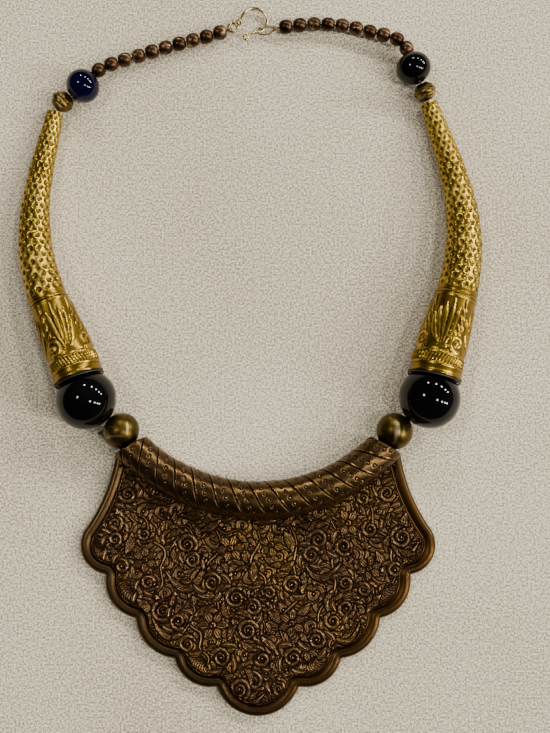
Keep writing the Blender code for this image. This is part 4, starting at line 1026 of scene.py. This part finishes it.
def makeTube():
    outer, share, turn = ringedTube(tube["around"], tube["along"])
    # the skin is twisted so that its mesh follows the chased lines
    halfRun = bib["tubeArc"] * math.radians(bib["tubeHalfAngle"])
    turn = turn + 2 * np.pi * halfRun / (tube["linePitch"] * tube["lineStarts"]) * (2 * share - 1)
    turn = (turn + np.pi) % (2 * np.pi) - np.pi
    reach = tubeEnds(turn, tube["middleDiameter"] / 2 * 0.95)
    angle = reach * (2 * share - 1)
    radius = tubeRadius(angle)
    run = angle * bib["tubeArc"]
    # lines fall to the right over the tube's front
    phase = run / tube["linePitch"] - tube["lineStarts"] * turn / (2 * np.pi)
    slope = math.hypot(1 / tube["linePitch"], tube["lineStarts"] / (np.pi * tube["middleDiameter"]))
    fromLine = (phase - np.rint(phase)) / slope
    swell = tube["bulge"] * np.sin(np.pi * (phase % 1.0)) ** 0.7
    cut = ridge(fromLine, tube["lineHalfWidth"])
    step = 2 * np.pi / tube["punchesRound"]
    nearest = np.full_like(turn, 99.0)
    for shift in (-1, 0, 1):
        at = (np.rint(turn / step) + shift) * step
        row = np.rint(run / tube["linePitch"] - tube["lineStarts"] * at / (2 * np.pi) - 0.5)
        place = tube["linePitch"] * (row + 0.5 + tube["lineStarts"] * at / (2 * np.pi))
        nearest = np.minimum(nearest, np.hypot(run - place, radius * (turn - at)))
    punch = ridge(nearest - tube["punchRadius"], 0.16)
    ring = ridge(nearest, 0.24)
    lipShare = np.minimum(share, 1 - share) * 2 * reach * bib["tubeArc"]
    lip = 1 - np.sqrt(np.clip(1 - (1 - np.clip(lipShare / tube["lip"], 0, 1)) ** 2, 0, 1))
    dent = tube["dents"] * np.sin(run * 0.31 + 2.0 * np.sin(turn * 2.0)) * np.sin(turn * 3.0 + run * 0.11)
    height = swell - tube["lineDepth"] * cut - tube["punchDepth"] * punch + tube["punchBump"] * ring
    height = height + tube["edgeRise"] * ridge(fromLine - 0.42, 0.22) + dent
    height = height - tube["sunk"] - tube["lip"] * lip
    x, y, z = tubeSkin(angle, turn, radius + height)
    movePoints(outer, inFrame(x, y, np.maximum(z, 0.02)))
    worn = 0.54 + swell * 0.9 - 0.70 * cut - 0.72 * punch + 0.36 * ridge(fromLine - 0.42, 0.20)
    worn = worn + 0.50 * ring - 0.3 * lip
    note(outer, "worn", np.clip(worn, 0, 1))
    inner, innerShare, innerTurn = ringedTube(tube["around"], 24)
    innerReach = tubeEnds(innerTurn, tube["bore"] / 2)
    innerAngle = innerReach * (2 * innerShare - 1)
    x, y, z = tubeSkin(innerAngle, innerTurn, np.full_like(innerAngle, tube["bore"] / 2))
    movePoints(inner, inFrame(x, y, z))
    note(inner, "worn", np.full(len(innerAngle), 0.15))
    piece = closeWall(outer, inner)
    smoothUpTo(piece, 55)
    return handOver(piece, "bibTube", finishes["tube"], "copper", "bib_pendant")


makeRim()
bibSheet = chartedSheet()
bibWorn = bibSheet.worn(0.75)
makeField("bibFieldLeft", -99, -bib["middlePart"], bibSheet, bibWorn)
makeField("bibFieldMiddle", -bib["middlePart"], bib["middlePart"], bibSheet, bibWorn)
makeField("bibFieldRight", bib["middlePart"], 99, bibSheet, bibWorn)
makeTube()
print("bib ready")


# Horns: chased brass over a dark core

horn = {
    # share of the length from the narrow end, bow as a share of the length, girth between the two ends
    "stations": [
        (0.00, 0.000, 0.00), (0.08, 0.025, 0.09), (0.18, 0.058, 0.18), (0.30, 0.091, 0.29),
        (0.42, 0.111, 0.42), (0.54, 0.113, 0.53), (0.66, 0.095, 0.62), (0.77, 0.065, 0.74),
        (0.87, 0.034, 0.87), (0.95, 0.012, 0.95), (1.00, 0.000, 1.00),
    ],
    "around": 184,
    "along": 330,
    "wall": 0.6,
    "plainRim": 2.9,
    "strokeBand": 3.4,
    "strokesRound": 46,
    "panelEnd": 25.6,
    "plainStrip": 4.0,
    "punchPitch": (2.90, 2.00),
    "ringRise": 0.20,
    "hollowDepth": 0.34,
    "panelRepeats": 4,
    "panelRadius": 7.6,
    "panelRise": 0.34,
    "strokeRise": 0.20,
    "dents": 0.10,
    "sunk": 0.12,
    "turned": 0.6,
    "innerRings": 40,
}


def hornEnds(node):
    # the middle and outer radius of each end, narrow end first, from the sheath's two end faces
    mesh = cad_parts[node].data
    co = np.array([v.co for v in mesh.vertices])
    faces = np.array([tuple(p.vertices) for p in mesh.polygons if len(p.vertices) == 3])
    a, b, c = co[faces[:, 0]], co[faces[:, 1]], co[faces[:, 2]]
    normal = np.cross(b - a, c - a)
    area = np.linalg.norm(normal, axis=1)
    spine = np.linalg.svd(co - co.mean(0), full_matrices=False)[2][0]
    lean = normal @ spine / np.maximum(area, 1e-12)
    ends = []
    for chosen in (lean > 0.8, lean < -0.8):
        corners = np.unique(np.round(np.vstack([a[chosen], b[chosen], c[chosen]]), 7), axis=0)
        centre = corners.mean(0)
        ends.append((centre, np.linalg.norm(corners - centre, axis=1).max()))
    ends.sort(key=lambda end: end[1])
    return ends


def hornLine(side, share):
    # the horn's centreline and the two directions across it, in metres
    mirror = -1 if side == "left" else 1
    (narrow, narrowRadius), (mouth, mouthRadius) = hornEnds(f"{side}_horn_sheath")
    chord = narrow - mouth
    out = np.array([chord[1], -chord[0], 0.0]) * mirror
    keys = [row[0] for row in horn["stations"]]
    bows = [row[1] for row in horn["stations"]]
    girths = [row[2] for row in horn["stations"]]

    def centre(at):
        return narrow - np.outer(at, chord) + np.outer(smoothCurve(keys, bows, at), out)

    direction = centre(np.minimum(share + 0.01, 1)) - centre(np.maximum(share - 0.01, 0))
    direction /= np.linalg.norm(direction, axis=1)[:, None]
    sideways = np.cross(direction, (0, 0, 1))
    sideways /= np.linalg.norm(sideways, axis=1)[:, None]
    upwards = np.cross(sideways, direction)
    radius = narrowRadius + (mouthRadius - narrowRadius) * smoothCurve(keys, girths, share)
    return centre(share), sideways, upwards, radius, np.linalg.norm(chord)


def aroundHorn(line, reach, turn):
    # places round the horn's line, at a reach from it in metres
    centre, sideways, upwards = line[:3]
    return centre + reach[:, None] * (upwards * np.cos(turn)[:, None] + sideways * np.sin(turn)[:, None])


def panelSheet():
    # plumes and scrolls that repeat round the horn, on a flat strip
    width = 2 * np.pi * horn["panelRadius"]
    repeat = width / horn["panelRepeats"]
    start = horn["plainRim"] + horn["strokeBand"] + 0.8
    sheet = Sheet((0.0, -repeat), (horn["panelEnd"], width + repeat), 0.2)
    for number in range(-1, horn["panelRepeats"] + 2):
        base = number * repeat
        # a plume of long curved leaves from one root, and scrolls on both sides of it
        for step in range(6):
            root = (start + 0.6 + step * 0.25, base + 5.0 + step * 0.35)
            line = bent(*root, -30 + step * 13, 16.2 - abs(step - 2) * 1.7, 26 - step * 11)
            sheet.stroke(line, [0.22, 0.60, 0.86, 0.88, 0.66, 0.12], 1.0, groove=0.32, sink=0.4)
        for step in range(4):
            root = (start + 5.5 + step * 2.9, base - 0.4 + step * 0.1)
            line = bent(*root, 58 - step * 8, 5.2, -70)
            sheet.stroke(line, [0.2, 0.60, 0.70, 0.45, 0.1], 0.9, groove=0.3, sink=0.4)
        line = curl(start + 3.2, base + 0.8, 2.9, 200, -1.35)
        sheet.stroke(line, [0.80, 0.74, 0.62, 0.5, 0.35], 1.1, groove=0.32, sink=0.4)
        sheet.dome(start + 3.2, base + 0.8, 0.7, 1.1)
    sheet.soften(1)
    return sheet, start


def punchPitch(run, first, length):
    share = (run - first) / (length - first)
    return horn["punchPitch"][0] + (horn["punchPitch"][1] - horn["punchPitch"][0]) * share


def hornRelief(run, turn, radius, length, sheet, panelStart):
    # height of the chasing at a distance from the mouth, and how worn it is
    rim, band = horn["plainRim"], horn["strokeBand"]
    height = np.zeros_like(run)
    worn = np.full_like(run, 0.60)
    height += 0.16 * ridge(run - 0.35, 0.45)
    for at in (rim, rim + band + 0.25, horn["panelEnd"], horn["panelEnd"] + 0.9):
        height += 0.20 * ridge(run - at, 0.28) - 0.14 * ridge(run - at - 0.60, 0.20)
        worn += 0.25 * ridge(run - at, 0.28) - 0.40 * ridge(np.abs(run - at) - 0.58, 0.18)
    inBand = stepUp(rim + 0.35, rim + 0.6, run) * (1 - stepUp(rim + band - 0.3, rim + band - 0.05, run))
    slant = np.sin(horn["strokesRound"] * turn + (run - rim) * 2.1)
    height += inBand * horn["strokeRise"] * slant
    worn += inBand * 0.38 * slant
    beforeEnd = 1 - stepUp(horn["panelEnd"] - 0.7, horn["panelEnd"] - 0.3, run)
    inPanel = stepUp(panelStart - 0.4, panelStart, run) * beforeEnd
    column = np.clip(np.rint((run - sheet.low[0]) / sheet.step).astype(int), 0, len(sheet.x) - 1)
    around = (turn % (2 * np.pi)) * horn["panelRadius"]
    row = np.clip(np.rint((around - sheet.low[1]) / sheet.step).astype(int), 0, len(sheet.y) - 1)
    chased, rubbed = sheet.height[column, row], sheet.rubbed[column, row]
    height += inPanel * horn["panelRise"] * chased
    worn = worn * (1 - inPanel) + inPanel * (0.26 + 0.62 * rubbed)
    first = horn["panelEnd"] + horn["plainStrip"]
    rows = [first]
    while rows[-1] < length - 1.2:
        rows.append(rows[-1] + 0.84 * punchPitch(rows[-1], first, length))
    rows = np.array(rows)
    order = np.argsort(run)
    rowRadius = np.interp(rows, run[order], radius[order])
    nearest = np.full_like(run, 9.0)
    index = np.searchsorted(rows, run)
    for shift in (-2, -1, 0, 1):
        number = np.clip(index + shift, 0, len(rows) - 1)
        pitch = punchPitch(rows[number], first, length)
        count = np.maximum(8, np.rint(2 * np.pi * rowRadius[number] / pitch))
        stagger = 0.5 * (number % 2)
        at = (np.rint(turn * count / (2 * np.pi) - stagger) + stagger) * 2 * np.pi / count
        nearest = np.minimum(nearest, np.hypot(run - rows[number], radius * (turn - at)) / pitch)
    scaled = stepUp(first - 1.4, first - 0.9, run)
    hollow = horn["hollowDepth"] * ridge(nearest, 0.25) - 0.08 * ridge(nearest, 0.10)
    height += scaled * (horn["ringRise"] * ridge(nearest - 0.43, 0.13) - hollow - 0.04)
    worn += scaled * (0.30 * ridge(nearest - 0.43, 0.14) - 0.36 * ridge(nearest - 0.10, 0.17))
    height += horn["dents"] * np.sin(run * 0.55 + 1.7 * np.sin(turn)) * np.sin(turn * 2 + run * 0.13)
    return height, np.clip(worn, 0, 1)


def makeSheath(side, sheet, panelStart):
    outer, share, turn = ringedTube(horn["around"], horn["along"])
    line = hornLine(side, share)
    radius, length = line[3] / mm, line[4] / mm
    flip = -1 if side == "left" else 1
    run = (1 - share) * length  # the stations run from the narrow end, and the chasing from the mouth
    height, worn = hornRelief(run, turn * flip + horn["turned"], radius, length, sheet, panelStart)
    places = aroundHorn(line, (radius + height - horn["sunk"]) * mm, turn)
    movePoints(outer, within(places, f"{side}_horn_sheath"))
    note(outer, "worn", worn)
    inner, innerShare, innerTurn = ringedTube(horn["around"], horn["innerRings"])
    line = hornLine(side, innerShare)
    movePoints(inner, aroundHorn(line, line[3] - horn["wall"] * mm, innerTurn))
    note(inner, "worn", np.full(len(innerShare), 0.4))
    piece = closeWall(outer, inner)
    smoothUpTo(piece, 60)
    return handOver(piece, f"{side}HornBrass", finishes["horn"], "gilt_brass", f"{side}_horn_sheath")


core = {
    "around": 96,
    "along": 36,
    "wall": 0.5,
    "gap": 0.3,
    "lip": 0.6,
    "lipInset": 0.1,
    "bore": 2.2,
    "cupDepth": 12.0,
    "cupClosing": 4.0,
}


def makeCore(side):
    # the core fills the sheath, shows as a lip at the mouth, and is hollow where the large bead sits
    outer, share, turn = ringedTube(core["around"], core["along"])
    line = hornLine(side, share)
    ends = hornLine(side, np.array([1.0]))
    movePoints(outer, aroundHorn(line, line[3] - (horn["wall"] + core["gap"]) * mm, turn))
    inner, innerShare, innerTurn = ringedTube(core["around"], core["along"])
    line = hornLine(side, innerShare)
    fromMouth = (1 - innerShare) * line[4] / mm
    cup = line[3] / mm - horn["wall"] - core["gap"] - core["wall"]
    closing = stepUp(core["cupDepth"] - core["cupClosing"], core["cupDepth"], fromMouth)
    reach = (cup * (1 - closing) + core["bore"] / 2 * closing) * mm
    movePoints(inner, aroundHorn(line, reach, innerTurn))
    piece = closeWall(outer, inner)
    smoothUpTo(piece, 40)
    handOver(piece, f"{side}HornCore", finishes["core"], "dark_core", f"{side}_horn_core")
    mouth, sideways, upwards, radius = ends[0][0], ends[1][0], ends[2][0], ends[3][0]
    along = np.cross(upwards, sideways)
    return mouth, along, radius


def makeLip(side, mouth, along, radius):
    # the core's lip, a rounded dark ring just past the brass
    ringRadius = radius - (core["lipInset"] + core["lip"] * 0.5) * mm
    letGo()
    bpy.ops.mesh.primitive_torus_add(
        major_segments=96, minor_segments=12, major_radius=ringRadius, minor_radius=core["lip"] * 0.5 * mm
    )
    piece = bpy.context.object
    towards = Vector(along)
    if (Vector(mouth) - Vector(hornEnds(f"{side}_horn_sheath")[0][0])).dot(towards) < 0:
        towards = -towards
    turned = towards.to_track_quat("Z", "Y").to_matrix()
    shift = Vector(mouth) + towards * (core["gap"] + core["lip"] * 0.5) * mm
    places = points(piece) @ np.array(turned.transposed()) + np.array(shift)
    movePoints(piece, places)
    smoothUpTo(piece, 60)
    return handOver(piece, f"{side}HornLip", finishes["core"], "dark_core", f"{side}_horn_core")


panel, panelStart = panelSheet()
panel.rubbed = panel.worn(0.7)
for side in ("left", "right"):
    makeSheath(side, panel, panelStart)
    mouthPlace, mouthAlong, mouthRadius = makeCore(side)
    makeLip(side, mouthPlace, mouthAlong, mouthRadius)
print("horns ready")


# Beads: a sphere drilled at its poles, turned onto the cord

beads = {
    "ball": {"segments": 72, "rings": 40},
    "large": {"segments": 96, "rings": 56},
    "cap": {"segments": 48, "rings": 32},
    "upper": {"segments": 72, "rings": 40},
    "spacer": {"segments": 28, "rings": 18},
}


def beadFacts(node):
    # centre, bore direction, length, radius and bore radius of a drilled bead, in metres
    co = np.array([v.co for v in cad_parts[node].data.vertices])
    co = np.unique(np.round(co, 7), axis=0)
    low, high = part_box(node)
    centre = np.array((low + high) / 2)
    values, vectors = np.linalg.eigh(np.cov((co - centre).T))
    odd = 0 if abs(values[1] - values[0]) > abs(values[2] - values[1]) else 2
    axis = vectors[:, odd]
    along = (co - centre) @ axis
    away = np.linalg.norm(co - centre - np.outer(along, axis), axis=1)
    return centre, axis, along.max() - along.min(), away.max(), away.min()


def drilledSphere(segments, rings):
    letGo()
    bpy.ops.mesh.primitive_uv_sphere_add(segments=segments, ring_count=rings, radius=1.0)
    piece = bpy.context.object
    flat = points(piece)
    away = np.hypot(flat[:, 0], flat[:, 1])
    sine = math.sin(math.pi / rings * 1.01)
    workOnly(piece, "VERT", away < sine * 0.5)
    bpy.ops.mesh.delete(type="VERT")
    bpy.ops.mesh.select_all(action="SELECT")
    bpy.ops.mesh.region_to_loop()
    bpy.ops.mesh.bridge_edge_loops(number_cuts=3)
    stopWork()
    return piece


def shapeBead(kind, places, boreShare, seed):
    # places on a unit sphere about Z become the bead's own form
    dice = random.Random(seed)
    height = np.clip(places[:, 2], -1, 1)
    away = np.hypot(places[:, 0], places[:, 1])
    turn = np.arctan2(places[:, 1], places[:, 0])
    full = math.sqrt(1 - boreShare**2)
    skin = away > np.sqrt(np.clip(1 - height**2, 0, 1)) - 0.02
    lift = height / max(height.max(), 1e-6) * full
    round_ = np.sqrt(np.clip(1 - lift**2, 0, 1))
    reach = np.where(skin, np.maximum(round_, boreShare), boreShare)
    if kind == "cap":
        band = 0.035 * ridge(height - 0.05, 0.20) - 0.07 * ridge(np.abs(height - 0.05) - 0.34, 0.07)
        reach = reach + np.where(skin, band, 0)
    if kind == "spacer":
        reach = np.where(skin, np.maximum(round_**0.72, boreShare), boreShare)
        sag = 0.02 * np.sin(turn * 2 + dice.uniform(0, 6))
        sag = sag + 0.014 * np.sin(turn * 5 + height * 3 + dice.uniform(0, 6))
        reach = reach * np.where(skin, 1 + sag, 1)
    if kind == "ball":
        reach = reach * np.where(skin, 1 + 0.004 * np.sin(turn * 3 + height * 4), 1)
    return np.column_stack([np.cos(turn) * reach, np.sin(turn) * reach, lift / full])


def makeBead(node, name, kind, finish, slotName, seed):
    centre, axis, length, radius, bore = beadFacts(node)
    piece = drilledSphere(beads[kind]["segments"], beads[kind]["rings"])
    shaped = shapeBead(kind, points(piece), bore / radius, seed)
    shaped = shaped * (radius, radius, length / 2)
    turned = Vector(axis).to_track_quat("Z", "X").to_matrix()
    movePoints(piece, within(shaped @ np.array(turned.transposed()) + centre, node))
    faceOutwards(piece)
    smoothUpTo(piece, 50)
    return handOver(piece, name, finishes[finish], slotName, node)


for side in ("left", "right"):
    makeBead(f"{side}_ball_bead", f"{side}Ball", "ball", "ball", "ball_brass", 1)
    makeBead(f"{side}_large_bead", f"{side}LargeBead", "large", "black", "black_glass", 2)
    makeBead(f"{side}_cap_bead", f"{side}Cap", "cap", "cap", "ball_brass", 3)
    upper = ("navy", "navy_glass") if side == "left" else ("black", "black_glass")
    makeBead(f"{side}_upper_bead", f"{side}UpperBead", "upper", *upper, 4)
    for number in range(1, 11):
        node = f"{side}_spacer_{number:02d}"
        seed = 10 * number + len(side)
        makeBead(node, f"{side}Spacer{number:02d}", "spacer", "spacer", "spacer_bronze", seed)
print("beads ready")


# Cord and hook: the solids' own lines, rounded

wires = {"cordFatten": 0.00004, "hookFatten": 0.00012}


def roundedCopy(node, name, finish, slotName, fatten, levels):
    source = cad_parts[node]
    letGo()
    piece = source.copy()
    piece.data = source.data.copy()
    for key in list(piece.keys()):
        del piece[key]
    piece.parent = None
    bpy.context.scene.collection.objects.link(piece)
    workOn(piece)
    bpy.ops.mesh.select_all(action="SELECT")
    bpy.ops.mesh.remove_doubles(threshold=0.000005)
    bpy.ops.mesh.tris_convert_to_quads()
    bpy.ops.transform.shrink_fatten(value=fatten)
    stopWork()
    rounding = piece.modifiers.new("rounding", "SUBSURF")
    rounding.levels = rounding.render_levels = levels
    bpy.ops.object.modifier_apply(modifier=rounding.name)
    movePoints(piece, within(points(piece), node))
    smoothUpTo(piece, 60)
    return handOver(piece, name, finishes[finish], slotName, node)


roundedCopy("stringing_cord", "stringingCord", "cord", "cord", wires["cordFatten"], 1)
roundedCopy("clasp_hook", "claspHook", "hook", "hook_wire", wires["hookFatten"], 2)
print("cord and hook ready")


# Table, light and camera

studio = {
    "target": (bibX * mm + 0.00555, bibY * mm + 0.0444, 0.0),
    "distance": 0.368,
    "tilt": 6.0,
    "lens": 54.02,
    "floorSize": 6.0,
    "lampHeight": 1.6,
    "lampSize": 0.22,
    "lampPower": 6.2,
    "lampColour": (1.0, 0.93, 0.82),
    # ceiling lamps: sideways and away from the viewer, for each unit of height
    "lamps": [
        (-0.18, 1.5), (0.58, 1.25), (1.14, 1.07), (1.65, 0.87), (2.4, 0.78),
        (-0.5, 0.135), (0.41, -0.2), (0.89, -0.37), (1.37, -0.53), (2.0, -0.71),
    ],
    "sky": (1.0, 0.95, 0.88),
    "skyStrength": 0.05,
}


def makeFloor():
    letGo()
    bpy.ops.mesh.primitive_plane_add(size=studio["floorSize"], location=(0, 0, 0))
    floor = bpy.context.object
    floor.name = "paleTable"
    finish = Finish("paleTable")
    grain = finish.noise(1500.0, 3.0, 0.75)
    broad = finish.noise(9.0, 2.0)
    spark = 1.0 - finish.cells(1300.0).between(0.04, 0.20)
    lit = finish.noise(420.0, 1.0).between(0.56, 0.64)
    colour = finish.ramp(
        grain + (broad - 0.5) * 0.10,
        (0.42, (0.26, 0.228, 0.160)),
        (0.50, (0.600, 0.535, 0.405)),
        (0.58, (0.94, 0.880, 0.715)),
    )
    finish.put(
        Base_Color=finish.mix(spark * lit * 0.75, colour, (0.95, 0.93, 0.88)),
        Roughness=0.55 + grain * 0.2,
    )
    floor.data.materials.append(finish.material)


def addLamp(name, place, size, power, colour):
    bpy.ops.object.light_add(type="AREA", location=place)
    lamp = bpy.context.object
    lamp.name = name
    lamp.data.shape = "DISK"
    lamp.data.size = size
    lamp.data.energy = power
    lamp.data.color = colour
    lamp.rotation_euler = Vector(place).to_track_quat("Z", "Y").to_euler()


def makeLights():
    letGo()
    height = studio["lampHeight"]
    for number, (sideways, away) in enumerate(studio["lamps"]):
        place = (sideways * height, away * height, height)
        power = studio["lampPower"] * (1 + sideways**2 + away**2)
        addLamp(f"ceilingLamp{number}", place, studio["lampSize"], power, studio["lampColour"])
    world = bpy.context.scene.world or bpy.data.worlds.new("room")
    bpy.context.scene.world = world
    world.use_nodes = True
    background = world.node_tree.nodes["Background"]
    background.inputs["Color"].default_value = (*studio["sky"], 1.0)
    background.inputs["Strength"].default_value = studio["skyStrength"]


def makeCamera():
    tilt = math.radians(studio["tilt"])
    target = Vector(studio["target"])
    back = Vector((0, -math.sin(tilt), math.cos(tilt)))
    bpy.ops.object.camera_add(location=target + back * studio["distance"], rotation=(tilt, 0, 0))
    camera = bpy.context.object
    camera.data.lens = studio["lens"]
    camera.data.clip_start = 0.01
    bpy.context.scene.camera = camera


makeFloor()
makeLights()
makeCamera()
print("table, light and camera ready")

bpy.context.view_layer.update()
